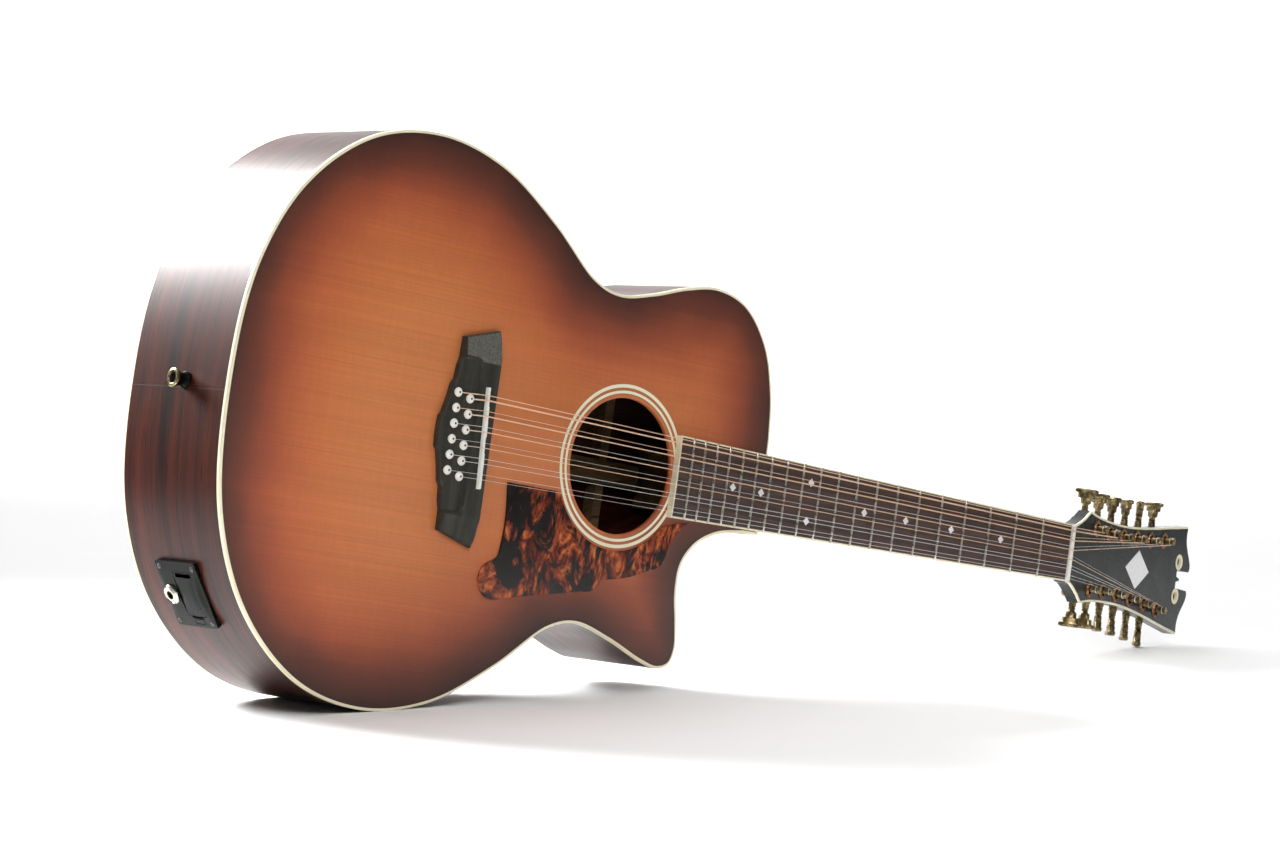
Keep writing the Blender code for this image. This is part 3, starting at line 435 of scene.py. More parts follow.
def pearl():
    """Shell with pale layers that drift from green to pink."""
    m = Material("pearl", Coat_weight=0.6, Coat_roughness=0.05)
    where = m.around()
    layer = m.noise(where, 420.0, 3.0, 0.6, 1.6)
    colour = m.ramp(layer, (0.30, srgb(220, 233, 231)), (0.5, srgb(255, 255, 255)),
                    (0.7, srgb(253, 237, 240)))
    return m.finish(colour, m.span(layer, 0.3, 0.7, 0.12, 0.24))


def make_materials():
    dark_wood = dict(Coat_weight=0.08, Coat_roughness=0.30, Specular_IOR_Level=0.14)
    return {
        "spruce": sunburst(),
        "mahogany": figured_wood("mahogany", srgb(11, 6, 4), srgb(80, 31, 18), 84, 40, 0.38, **dark_wood),
        "mahogany_inside": figured_wood("mahogany_inside", srgb(52, 28, 18), srgb(82, 46, 28), 62, 55, 0.7),
        "neck_wood": figured_wood("neck_wood", srgb(26, 13, 10), srgb(54, 27, 20), 40, 60, 0.34, **dark_wood),
        "rosewood": figured_wood("rosewood", srgb(46, 31, 27), srgb(88, 62, 54), 230, 90, 0.50),
        "ebony": figured_wood("ebony", srgb(33, 32, 26), srgb(62, 60, 51), 120, 120, 0.44,
                               Specular_IOR_Level=0.35),
        "bare_wood": figured_wood("bare_wood", srgb(104, 80, 50), srgb(136, 108, 70), 90, 40, 0.7, "object"),
        # Paler ebony with a pitted bump for the bass wing's front facet: its pale colour is a painted sheen
        "pitted_ebony_painted_sheen": tinted("pitted_ebony_painted_sheen", srgb(108, 106, 98), srgb(70, 69, 63), 620, 0.52, depth=0.00012),
        "tortoise": tortoise(),
        "cream": tinted("cream_plastic", srgb(252, 245, 218), srgb(243, 233, 196), 22, 0.34),
        "black_line": tinted("black_line", srgb(24, 20, 18), srgb(36, 30, 27), 80, 0.45),
        "bone": tinted("bone", srgb(255, 254, 247), srgb(248, 245, 234), 90, 0.34),
        "pin_dot": tinted("pin_dot", srgb(14, 14, 14), srgb(24, 23, 22), 300, 0.3),
        "lacquer": tinted("headstock_lacquer", srgb(18, 26, 23), srgb(26, 34, 31), 40, 0.26,
                            Specular_IOR_Level=0.25),
        "black_plastic": tinted("black_plastic", srgb(7, 11, 9), srgb(11, 16, 13), 60, 0.30, depth=0.00005,
                                Specular_IOR_Level=0.06),
        # Near-black for the strap button's cup and the jack's bore: painted shade in these hollows
        "hollow_painted_shade": tinted("hollow_painted_shade", srgb(8, 8, 8), srgb(16, 15, 15), 60, 0.8),
        "pearl": pearl(),
        "fret_wire": metal("fret_wire", srgb(206, 204, 190), srgb(150, 144, 124), 160, 0.20, 0.60),
        "nickel": metal("antique_nickel", srgb(176, 160, 118), srgb(96, 80, 50), 140, 0.20),
        "screw": metal("black_screw", srgb(92, 92, 92), srgb(40, 40, 40), 300, 0.30),
        "brass": metal("aged_brass", srgb(175, 155, 112), srgb(83, 74, 52), 170, 0.26, 0.48),
        "bushing": metal("bushing_brass", srgb(172, 126, 92), srgb(84, 58, 42), 260, 0.24, 0.52),
        "steel": metal("plain_steel", srgb(255, 255, 255), srgb(255, 251, 240), 300, 0.34, 0.66),
        "bronze": winding("wound_bronze", srgb(255, 230, 202), srgb(222, 160, 122), 0.00042),
    }


MATERIALS = make_materials()


# ---------------------------------------------------------------- mesh helpers

def loft(rings, closed=False):
    """Skin a row of rings that all have the same number of points, and cap its open ends."""
    mesh = bmesh.new()
    rows = [[mesh.verts.new(point) for point in ring] for ring in rings]
    pairs = list(zip(rows, rows[1:])) + ([(rows[-1], rows[0])] if closed else [])
    for low, high in pairs:
        for i, vertex in enumerate(low):
            j = (i + 1) % len(low)
            mesh.faces.new((vertex, low[j], high[j], high[i]))
    if not closed:
        for row in (rows[0], rows[-1]):
            mesh.faces.new(row)
    bmesh.ops.recalc_face_normals(mesh, faces=mesh.faces[:])
    return mesh


def plate(loops, front, back):
    """A flat piece from (x, z) loops, its outline and holes; front and back are y values or rules in x."""
    mesh = bmesh.new()
    for loop in loops:
        vertices = [mesh.verts.new((x, 0, z)) for x, z in loop]
        for i, vertex in enumerate(vertices):
            mesh.edges.new((vertices[i - 1], vertex))
    bmesh.ops.triangle_fill(mesh, edges=mesh.edges[:], use_beauty=True)
    made = bmesh.ops.extrude_face_region(mesh, geom=mesh.faces[:])["geom"]
    moved = {item for item in made if isinstance(item, bmesh.types.BMVert)}
    for vertex in mesh.verts:
        rule = back if vertex in moved else front
        vertex.co.y = rule(vertex.co.x) if callable(rule) else rule
    bmesh.ops.dissolve_limit(mesh, angle_limit=FLAT_ANGLE, verts=mesh.verts[:], edges=mesh.edges[:])
    bmesh.ops.recalc_face_normals(mesh, faces=mesh.faces[:])
    return mesh


def circle(x, z, radius, sides):
    return [(x + radius * cos(tau * i / sides), z + radius * sin(tau * i / sides)) for i in range(sides)]


def oblong(half_x, half_z):
    """A rectangle about the origin as an (x, z) loop."""
    return [(-half_x, -half_z), (half_x, -half_z), (half_x, half_z), (-half_x, half_z)]


def quarter(radius, steps=4):
    """A quarter round as (inset, depth) points, from the face inwards."""
    angles = [pi / 2 * i / steps for i in range(steps + 1)]
    return [(radius * (1 - sin(angle)), radius * (1 - cos(angle))) for angle in angles]


def round_ring(y, radius, sides):
    """A ring of points round the Y axis."""
    return [(x, y, z) for x, z in circle(0, 0, radius, sides)]


def turned(profile, sides=32, closed=False):
    """A piece turned about the Y axis from (y, radius) points; a closed profile leaves a bore."""
    return loft([round_ring(y, radius, sides) for y, radius in profile], closed)


def tube(points, radius, sides=8):
    """A round wire along points, with its grain running along its length."""
    points = [Vector(point) for point in points]
    rings, along = [], []
    side = Vector((0, 1, 0))
    travelled = 0.0
    for i, here in enumerate(points):
        ahead = (points[min(i + 1, len(points) - 1)] - points[max(i - 1, 0)]).normalized()
        side = (side - ahead * side.dot(ahead)).normalized()
        other = ahead.cross(side)
        travelled += (here - points[i - 1]).length if i else 0.0
        rings.append([here + (side * cos(tau * k / sides) + other * sin(tau * k / sides)) * radius
                      for k in range(sides)])
        along += [travelled] * sides
    return loft(rings), along


def smooth(points, samples):
    """A Catmull-Rom curve through (x, z) points, with centripetal spacing."""
    ends = [tuple(2 * a - b for a, b in zip(points[0], points[1])),
            tuple(2 * a - b for a, b in zip(points[-1], points[-2]))]
    row = [Vector(p) for p in (ends[0], *points, ends[1])]
    curve = []
    for p0, p1, p2, p3 in zip(row, row[1:], row[2:], row[3:]):
        t1 = (p1 - p0).length ** 0.5
        t2 = t1 + (p2 - p1).length ** 0.5
        t3 = t2 + (p3 - p2).length ** 0.5
        for step in range(samples):
            t = t1 + (t2 - t1) * step / samples
            a, b = p0.lerp(p1, t / t1), p1.lerp(p2, (t - t1) / (t2 - t1))
            c = p2.lerp(p3, (t - t2) / (t3 - t2))
            early = a.lerp(b, t / t2)
            curve.append(early.lerp(b.lerp(c, (t - t1) / (t3 - t1)), (t - t1) / (t2 - t1)))
    curve.append(row[-2])
    return curve


def joined(*runs, samples=8):
    """One loop from several runs of points, each smooth in itself, that meet in corners."""
    loop = []
    for run in runs:
        curve = smooth(run, samples) if len(run) > 2 else [Vector(point) for point in run]
        loop += [point for point in curve if not loop or (point - loop[-1]).length > WELD]
    return loop[:-1] if (loop[0] - loop[-1]).length < WELD else loop


def inset(loop, distance):
    """Move a closed loop inwards by a distance, with mitred corners."""
    loop = [Vector(point) for point in loop]
    moved = []
    for i, here in enumerate(loop):
        first = (here - loop[i - 1]).normalized()
        second = (loop[(i + 1) % len(loop)] - here).normalized()
        inward = Vector((first.y + second.y, -first.x - second.x))
        moved.append(here + inward * distance / (1 + first.dot(second)))
    return moved


def distance_to(loop, points):
    """How far each (x, z) point lies from a closed loop, and the arc length along it of the nearest place."""
    start = np.array([tuple(point) for point in loop])
    step = np.roll(start, -1, axis=0) - start
    length = np.linalg.norm(step, axis=1)
    arc = np.concatenate([[0], np.cumsum(length)[:-1]])
    far, where = [], []
    for group in np.array_split(np.asarray(points, float), max(1, len(points) // ROWS_AT_ONCE)):
        offset = group[:, None, :] - start[None]
        share = np.clip((offset * step).sum(2) / (length ** 2), 0, 1)
        gap = np.linalg.norm(offset - share[..., None] * step, axis=2)
        best = gap.argmin(1)
        rows = np.arange(len(group))
        far.append(gap[rows, best])
        where.append(arc[best] + share[rows, best] * length[best])
    return np.concatenate(far), np.concatenate(where)


def inside(loop, points):
    """Which (x, z) points lie inside a closed loop."""
    corners = np.array([tuple(point) for point in loop])
    after = np.roll(corners, -1, axis=0)
    x, z = points[:, 0, None], points[:, 1, None]
    crosses = (corners[:, 1] > z) != (after[:, 1] > z)
    run, rise = after[:, 0] - corners[:, 0], after[:, 1] - corners[:, 1]
    with np.errstate(divide="ignore", invalid="ignore"):
        at = corners[:, 0] + (z - corners[:, 1]) / rise * run
    return (crosses & (x < at)).sum(1) % 2 == 1


def filled(loops, pitch):
    """Triangles between an outline and its holes with a grid of points inside: (x, z) points and faces."""
    corners = np.array([tuple(point) for point in loops[0]])
    low, high = corners.min(0), corners.max(0)
    grid = np.stack(np.meshgrid(*[np.arange(low[a], high[a], pitch) for a in (0, 1)]), -1).reshape(-1, 2)
    keep = inside(loops[0], grid)
    for hole in loops[1:]:
        keep &= ~inside(hole, grid)
    grid = grid[keep]
    for loop in loops:
        grid = grid[distance_to(loop, grid)[0] > pitch * EDGE_CLEARANCE]
    points, edges = [], []
    for loop in loops:
        first = len(points)
        points += [Vector(point) for point in loop]
        edges += [(first + i, first + (i + 1) % len(loop)) for i in range(len(loop))]
    points += [Vector(point) for point in grid]
    made = delaunay_2d_cdt(points, edges, [], 1, MERGE_2D)
    spots = np.array([tuple(point) for point in made[0]])
    middles = spots[np.array(made[2])].mean(1)
    solid = inside(loops[0], middles)
    for hole in loops[1:]:
        solid &= ~inside(hole, middles)
    return [tuple(spot) for spot in spots], [face for face, kept in zip(made[2], solid) if kept]


def surface(mesh, patch, height):
    """Add a filled patch to a mesh at a height, a number or a rule in (x, z) arrays."""
    points, faces = patch
    spots = np.array(points)
    heights = height(spots[:, 0], spots[:, 1]) if callable(height) else np.full(len(spots), height)
    vertices = [mesh.verts.new((x, y, z)) for (x, z), y in zip(points, heights)]
    for face in faces:
        mesh.faces.new([vertices[i] for i in face])


def wall(mesh, low, high):
    """Quads between two loops of (x, y, z) points."""
    near = [mesh.verts.new(point) for point in low]
    far = [mesh.verts.new(point) for point in high]
    for i in range(len(near)):
        mesh.faces.new((near[i - 1], near[i], far[i], far[i - 1]))


def sealed(mesh):
    """Weld the patches and walls of a mesh into one skin that faces outwards."""
    bmesh.ops.remove_doubles(mesh, verts=mesh.verts[:], dist=WELD)
    bmesh.ops.recalc_face_normals(mesh, faces=mesh.faces[:])
    return mesh


# ---------------------------------------------------------------- pieces

def attribute(data, name, values):
    """Store a number or a vector on every point of a mesh."""
    values = np.asarray(values, np.float32)
    kind = "FLOAT_VECTOR" if values.ndim == 2 else "FLOAT"
    layer = data.attributes.new(name, kind, "POINT")
    layer.data.foreach_set("vector" if values.ndim == 2 else "value", values.ravel())


def places(data):
    """The points of a mesh as rows of x, y and z."""
    spots = np.zeros(len(data.vertices) * 3, np.float32)
    data.vertices.foreach_get("co", spots)
    return spots.reshape(-1, 3)


def set_grain(made, grain):
    """Give a piece new grain coordinates."""
    made.data.attributes["grain"].data.foreach_set("vector", grain.astype(np.float32).ravel())


def book_match(made):
    """Mirror the grain of one half of the body about its middle seam."""
    grain = places(made.data)
    grain[:, 2] = np.abs(grain[:, 2] - BODY_OFFSET)
    set_grain(made, grain)


def note_edge(made):
    """Store how far each point of a piece lies from the body's outline."""
    attribute(made.data, "edge", distance_to(OUTLINE, places(made.data)[:, [0, 2]])[0])


def shown(name, data):
    """A new object of the scene."""
    made = bpy.data.objects.new(name, data)
    bpy.context.scene.collection.objects.link(made)
    return made


def round_edges(made, width, segments=3, angle=40):
    """Round the edges of a piece that are sharper than an angle."""
    bevel = made.modifiers.new("edges", "BEVEL")
    bevel.width = width
    bevel.segments = segments
    bevel.limit_method = "ANGLE"
    bevel.angle_limit = radians(angle)


PIECES = []


def piece(name, mesh, material, place=STANCE, body="guitar", nodes=(), bevel=0.0, grain=None, angle=35):
    """A named piece in its place, on its body. The mesh may have faces of a second material."""
    data = bpy.data.meshes.new(name)
    mesh.to_mesh(data)
    mesh.free()
    data.shade_smooth()
    data.set_sharp_from_angle(angle=radians(angle))
    names = (material,) if isinstance(material, str) else material
    for each in names:
        data.materials.append(MATERIALS[each])
    made = shown(name, data)
    made.matrix_world = place
    attribute(data, "grain", places(data) if grain is None else grain)
    if bevel:
        round_edges(made, bevel)
    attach(made, body)
    if nodes:
        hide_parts(*nodes)
    PIECES.append(made)
    return made


def settle():
    """Write each piece's place into its mesh, so that its box lies along the shared frame's axes."""
    bpy.context.view_layer.update()
    for made in PIECES:
        made.data.transform(made.matrix_world)
        made.matrix_world = Matrix.Identity(4)


def cut(target, *cutters):
    """Take closed meshes, given in the target's own frame, out of a piece for good."""
    for number, mesh in enumerate(cutters):
        data = bpy.data.meshes.new(f"cutter_{number}")
        mesh.to_mesh(data)
        mesh.free()
        cutter = shown(f"cutter_{number}", data)
        cutter.matrix_world = target.matrix_world
        modifier = target.modifiers.new("cut", "BOOLEAN")
        modifier.object = cutter
        modifier.solver = "EXACT"
        bpy.context.view_layer.update()
        with bpy.context.temp_override(object=target, active_object=target):
            bpy.ops.object.modifier_apply(modifier=modifier.name)
        bpy.data.objects.remove(cutter)


# ---------------------------------------------------------------- body

def back_y(x):
    """The back's outer face, which comes nearer to the top towards the neck."""
    return DEPTH_TAIL + (DEPTH_NECK - DEPTH_TAIL) * x / BODY_LENGTH


def spaced(curve, shortest):
    """A dense curve with its points at least a distance apart."""
    kept = [curve[0]]
    for point in curve[1:-1]:
        if (point - kept[-1]).length >= shortest:
            kept.append(point)
    return kept + [curve[-1]]


def half_outlines():
    """The bass and the treble half of the body's outline, both from the tail seam to the neck's middle."""
    upper = [(x, z + BODY_OFFSET) for x, z in LOWER_BOUT]
    lower = [(x, BODY_OFFSET - z) for x, z in LOWER_BOUT]
    samples, lead_in = 40, 3
    bass = smooth([*reversed(lower[:lead_in]), (0, BODY_OFFSET), *upper, *UPPER_BOUT], samples)
    treble = smooth([*reversed(upper[:lead_in]), (0, BODY_OFFSET), *lower, *CUTAWAY], samples)
    neck = Vector((BODY_LENGTH, 0))
    return [spaced(half[lead_in * samples:], OUTLINE_STEP) + [neck] for half in (bass, treble)]


BASS_HALF, TREBLE_HALF = half_outlines()
OUTLINE = BASS_HALF + TREBLE_HALF[-2:0:-1]
OUTLINE_LENGTH = sum((a - b).length for a, b in zip(OUTLINE, OUTLINE[1:] + OUTLINE[:1]))


def rim_at(distance):
    """The treble rim at an arc length from the seam: its point, its way from the tail and its outward way."""
    left = distance
    for start, end in zip(TREBLE_HALF, TREBLE_HALF[1:]):
        step = (end - start).length
        if left <= step:
            along = (end - start).normalized()
            return start.lerp(end, left / step), along, Vector((along.y, -along.x))
        left -= step
    raise ValueError("past the end of the rim")


def rim_matrix(distance, y, out=0.0):
    """A place on the treble rim: X runs along the rim, Y out of the body and Z along the guitar's Y."""
    point, along, outward = rim_at(distance)
    point = point + outward * out
    columns = (Vector((along.x, 0, along.y)), Vector((outward.x, 0, outward.y)), Vector((0, 1, 0)))
    return Matrix.Translation((point.x, y, point.y)) @ Matrix(columns).transposed().to_4x4()


def top():
    """One skin: the face, the rosette's channel, the rounded edge of the hole and the underside."""
    mesh = bmesh.new()
    edge = inset(OUTLINE, BINDING_WIDTH + HAIR)
    surface(mesh, filled([edge, circle(HOLE_X, 0, ROSETTE_END + HAIR, ROUND_SIDES)], FINE_PITCH), 0.0)
    surface(mesh, filled([edge, circle(HOLE_X, 0, HOLE_RADIUS, ROUND_SIDES)], COARSE_PITCH), PLATE_THICK)
    wall(mesh, [(x, 0, z) for x, z in edge], [(x, PLATE_THICK, z) for x, z in edge])
    outer, inner = ROSETTE_END + HAIR, ROSETTE_START - HAIR
    steps = [(outer, 0), (outer, ROSETTE_THICK), (inner, ROSETTE_THICK), (inner, 0)]
    steps += [(HOLE_RADIUS + out, deep) for out, deep in quarter(HOLE_ROUND)]
    steps.append((HOLE_RADIUS, PLATE_THICK))
    for (near, high), (far, low) in zip(steps, steps[1:]):
        wall(mesh, [(x, high, z) for x, z in circle(HOLE_X, 0, near, ROUND_SIDES)],
             [(x, low, z) for x, z in circle(HOLE_X, 0, far, ROUND_SIDES)])
    mesh = sealed(mesh)
    for face in mesh.faces:
        under = face.normal.y > FACING and face.calc_center_median().y > PLATE_THICK / 2
        face.material_index = 1 if under else 0
    made = piece("soundboard", mesh, ("spruce", "bare_wood"), nodes=("top",))
    book_match(made)
    note_edge(made)


def rosette():
    """Rings let into the top round the hole."""
    start = ROSETTE_START
    for name, end, material in ROSETTE:
        profile = [(0, start), (ROSETTE_THICK, start), (ROSETTE_THICK, end), (0, end)]
        mesh = turned(profile, ROUND_SIDES, closed=True)
        bmesh.ops.translate(mesh, verts=mesh.verts[:], vec=(HOLE_X, -HAIR, 0))
        made = piece(f"rosette_{name}", mesh, material, nodes=("rosette",) if name == "outer" else ())
        if material == "spruce":
            note_edge(made)
        start = end


def clipped(loop, level, sign):
    """The part of a closed loop on one side of z = level."""
    kept = []
    for i, here in enumerate(loop):
        before = loop[i - 1]
        if (before.y - level) * (here.y - level) < 0:
            kept.append(before.lerp(here, (level - before.y) / (here.y - before.y)))
        if (here.y - level) * sign > 0:
            kept.append(here)
    return kept


def back():
    """Two book-matched plates with a strip let in between them."""
    edge = inset(OUTLINE, BINDING_WIDTH + HAIR)

    def inner(x):
        return back_y(x) - PLATE_THICK

    halves = {"back_bass": (clipped(edge, BODY_OFFSET + BACK_STRIP + HAIR, 1), ("back",)),
              "back_treble": (clipped(edge, BODY_OFFSET - BACK_STRIP - HAIR, -1), ())}
    for name, (loop, nodes) in halves.items():
        mesh = plate([loop], inner, back_y)
        for face in mesh.faces:
            face.material_index = 1 if face.normal.y < -FACING else 0
        book_match(piece(name, mesh, ("mahogany", "mahogany_inside"), nodes=nodes))
    middle = clipped(clipped(edge, BODY_OFFSET + BACK_STRIP, -1), BODY_OFFSET - BACK_STRIP, 1)
    piece("back_strip", plate([middle], inner, back_y), "rosewood")


def bindings():
    """A strip of cream plastic round each face, with its outer edge rounded over."""
    section = [(0, BINDING_DEPTH), *reversed(quarter(BINDING_ROUND)), (BINDING_WIDTH, 0),
               (BINDING_WIDTH, BINDING_DEPTH)]
    loops = [inset(OUTLINE, offset) for offset, _ in section]
    for name, front in (("binding_front", True), ("binding_back", False)):
        rings = []
        for points in zip(*loops):
            rear = back_y(points[0].x)
            rings.append([(point.x, depth if front else rear - depth, point.y)
                          for point, (_, depth) in zip(points, section)])
        piece(f"{name}_strip", loft(rings, closed=True), "cream", nodes=(name,))


def sides():
    """Bent sides with their linings, from the seam at the tail to the neck."""
    walls = [OUTLINE, inset(OUTLINE, WALL_THICK), inset(OUTLINE, LINING_WIDTH)]
    seam = len(BASS_HALF)
    halves = {"bass_side": ([loop[:seam] for loop in walls], 1),
              "treble_side": ([[loop[0], *loop[:seam - 2:-1]] for loop in walls], -1)}
    for name, (rows, sign) in halves.items():
        rings = []
        for outer, inner, lining in zip(*rows):
            front = BINDING_DEPTH + HAIR
            rear = back_y(outer.x) - BINDING_DEPTH - HAIR
            rings.append([(outer.x, front, outer.y), (lining.x, front, lining.y),
                          (lining.x, LINING_DEPTH / 2, lining.y), (inner.x, LINING_DEPTH, inner.y),
                          (inner.x, rear - LINING_DEPTH, inner.y),
                          (lining.x, rear - LINING_DEPTH / 2, lining.y),
                          (lining.x, rear, lining.y), (outer.x, rear, outer.y)])
        for ring, seam_z in ((rings[0], BODY_OFFSET), (rings[-1], 0)):
            ring[:] = [(x, y, seam_z + sign * HAIR) for x, y, _ in ring]
        made = piece(f"{name}_wall", loft(rings), "mahogany", nodes=(name,))
        if name == "treble_side":
            opening = oblong(BATTERY[0] / 2 + TRAY_WALL, BATTERY[2] / 2 + TRAY_WALL)
            mouth = plate([opening], -CUT_REACH, CUT_OUT)
            mouth.transform(rim_matrix(sum(DOOR_ARC) / 2, sum(DOOR_Y) / 2))
            barrel = turned([(-CUT_REACH, JACK_HOLE), (CUT_OUT, JACK_HOLE)])
            barrel.transform(rim_matrix(JACK_ARC, JACK_Y))
            cut(made, mouth, barrel)
        spots = places(made.data)
        arc = distance_to(OUTLINE, spots[:, [0, 2]])[1]
        set_grain(made, np.stack([np.minimum(arc, OUTLINE_LENGTH - arc), spots[:, 1], spots[:, 1] * 0], 1))


def tail_seam():
    """The fine dark joint of the two sides at the tail."""
    half_deep, half_wide = 0.0001, 0.00022
    mesh = plate([oblong(half_deep, half_wide)], BINDING_DEPTH, back_y(0) - BINDING_DEPTH)
    piece("tail_seam", mesh, "black_line")


def pickguard():
    """The guard follows the rosette on one side and steps down its other side."""
    start = (0.2550, -0.0268)
    radius = ROSETTE_END + GUARD_GAP
    corner = HOLE_X - (radius ** 2 - start[1] ** 2) ** 0.5
    first, last, steps = atan2(start[1], corner - HOLE_X), radians(GUARD_SWEEP), 48
    angles = [first + (last - first) * i / steps for i in range(steps + 1)]
    arc = [(HOLE_X + radius * cos(angle), radius * sin(angle)) for angle in angles]
    horn = [arc[-1], (0.4368, -0.0330), (0.4277, -0.0414), (0.4209, -0.0527)]
    shoulder = [(0.4209, -0.0527), (0.4186, -0.0618), (0.4141, -0.0686), (0.4028, -0.0732)]
    step = [(0.4028, -0.0732), (0.3845, -0.0800), (0.3573, -0.0855)]
    knuckle = [(0.3573, -0.0855), (0.3558, -0.0892), (0.3528, -0.0925), (0.3480, -0.0948), (0.3391, -0.0959)]
    foot = [(0.3391, -0.0959), (0.3100, -0.1012), (0.2732, -0.1080), (0.2573, -0.1118)]
    lobe = [(0.2573, -0.1118), (0.2490, -0.1105), (0.2438, -0.1064), (0.2405, -0.1010), (0.2400, -0.0959),
            (0.2420, -0.0905), (0.2460, -0.0865), (0.2515, -0.0835)]
    side = [(0.2515, -0.0835), (0.2550, -0.0805), (0.2572, -0.0680), (0.2578, -0.0527), (0.2566, -0.0395),
            start]
    outline = joined([start, arc[0]], arc, horn, shoulder, step, knuckle, foot, lobe, side)
    piece("guard", plate([outline], -GUARD_THICK, -HAIR), "tortoise", nodes=("pickguard",), bevel=0.0003)


# ---------------------------------------------------------------- bridge

def pin_places():
    """Where the pins stand, in pairs from the bass side."""
    return [(PIN_COLUMNS[column], FIRST_PIN_Z[column] - PIN_PITCH * course)
            for course in range(6) for column in (0, 1)]


def bridge():
    """A carved block: a raised front band and wings round a scooped tail that carries the pins."""
    half = [(0.2282, 0.0520), (0.2280, 0.0700), (0.2264, 0.0780), (0.1948, 0.0690), (0.1945, 0.0545),
            (0.1928, 0.0490), (0.1917, 0.0385), (0.1892, 0.0345), (0.1872, 0.0240), (0.1844, 0.0135),
            (0.1824, 0.0110), (0.1818, 0.0040)]
    corners = [Vector(point) for point in half + [(x, -z) for x, z in reversed(half)]]
    outline = []
    for i, here in enumerate(corners):
        ahead = corners[(i + 1) % len(corners)]
        count = ceil((ahead - here).length / BRIDGE_STEP)
        outline += [here.lerp(ahead, step / count) for step in range(count)]
    front_x, scoop_z, corner, slope = 0.2130, 0.0560, 0.0085, 0.0013
    wing_z, wing_slope, edge = 0.0570, 0.18, 0.0008

    def height(x, z):
        """The carved face's y over the block."""
        across = np.maximum(np.abs(z) - (scoop_z - corner), 0)
        along = np.maximum(x - (front_x - corner), 0)
        outside = np.hypot(across, along) - corner
        share = np.clip(-outside / slope, 0, 1)
        y = BRIDGE_TOP + (RECESS_FLOOR - BRIDGE_TOP) * share * share * (3 - 2 * share)
        y = y + np.maximum(np.abs(z) - wing_z, 0) * wing_slope
        near = np.clip(distance_to(outline, np.stack([x, z], 1))[0] / edge, 0, 1)
        return y + edge * (1 - np.sqrt(1 - (1 - near) ** 2))

    mesh = bmesh.new()
    patch = filled([outline], BRIDGE_PITCH)
    surface(mesh, patch, height)
    surface(mesh, patch, -HAIR)
    rim = np.array([tuple(point) for point in outline])
    crest = [(x, y, z) for (x, z), y in zip(rim, height(rim[:, 0], rim[:, 1]))]
    wall(mesh, crest, [(x, -HAIR, z) for x, z in rim])
    mesh = sealed(mesh)
    # Faces of the bass wing that face the front get the paler grey, a painted sheen where light falls on the
    # facet
    for face in mesh.faces:
        middle = face.calc_center_median()
        sheen_facet = middle.z > 0.0535 + max(0.0, 0.2110 - middle.x) * 0.2
        face.material_index = 1 if sheen_facet and face.normal.y < -0.8 else 0
    made = piece("bridge_block", mesh, ("ebony", "pitted_ebony_painted_sheen"), nodes=("bridge",), angle=60)
    set_grain(made, places(made.data)[:, [2, 1, 0]])


def pins():
    """Round-headed pins with a collar and a black dot."""
    dot = 0.0008
    head = [(PIN_TOP - 0.00002, dot)]
    for i in range(1, 9):
        angle = pi / 2 * i / 8
        head.append((PIN_TOP + 0.0019 * (1 - cos(angle)), PIN_RADIUS * max(sin(angle), 0.3)))
    foot = [(-0.0064, PIN_RADIUS * 0.92), (-0.0062, PIN_RADIUS * 0.78), (-0.0056, PIN_RADIUS * 0.74),
            (-0.0054, PIN_RADIUS * 0.80), (RECESS_FLOOR + 0.0012, 0.0024)]
    for number, (x, z) in enumerate(pin_places(), 1):
        mesh = turned(head + foot, 28)
        for face in mesh.faces:
            face.material_index = 1 if face.calc_center_median().y < PIN_TOP else 0
        piece(f"bridge_pin_{number}", mesh, ("bone", "pin_dot"), STANCE @ Matrix.Translation((x, 0, z)))


def saddle():
    """A compensated saddle: the crest steps forwards and back from course to course."""
    bass, treble = (Vector(end) for end in SADDLE_ENDS)
    along = (treble - bass).normalized()
    forward = Vector((-along.y, along.x))
    length = (treble - bass).length
    crests = (-0.0004, 0.0002, 0.0004, -0.0003, 0.0003, 0.0001)
    half = SADDLE_THICK / 2
    rings = []
    stations = [(0.0, 0.0), (0.0006, 0.0)]
    for course, crest in enumerate(crests):
        middle = SADDLE_ENDS[0][1] - (SADDLE_COURSE - SADDLE_PITCH * course)
        stations += [(middle - 0.0050, crest), (middle + 0.0050, crest)]
    stations += [(length - 0.0006, 0.0), (length, 0.0)]
    for number, (travel, crest) in enumerate(stations):
        drop = 0.0008 if number in (0, len(stations) - 1) else 0.0
        rows = ((-half, SADDLE_FOOT), (-half, SADDLE_TOP + 0.0012), (crest - 0.0007, SADDLE_TOP + 0.0002),
                (crest, SADDLE_TOP), (crest + 0.0007, SADDLE_TOP + 0.0002), (half, SADDLE_TOP + 0.0012),
                (half, SADDLE_FOOT))
        base = bass + along * travel
        ring = []
        for out, y in rows:
            spot = base + forward * out
            ring.append((spot.x, min(y + drop, SADDLE_FOOT), spot.y))
        rings.append(ring)
    piece("saddle_bone", loft(rings), "bone", nodes=("saddle",), angle=50)


# ---------------------------------------------------------------- neck

def fret_x(fret):
    """Where a fret lies by the equal-tempered rule."""
    return NUT_X - SCALE_LENGTH * (1 - 2 ** (-fret / 12))


def half_width(x):
    """Half the fingerboard's width, which grows from the nut towards the body."""
    return HALF_WIDTH_NUT + (HALF_WIDTH_END - HALF_WIDTH_NUT) * (NUT_X - x) / (NUT_X - fret_x(FRET_COUNT))


def board_y(z):
    """The fingerboard's face, which is rounded across."""
    return BOARD_TOP + z * z / (2 * BOARD_RADIUS)


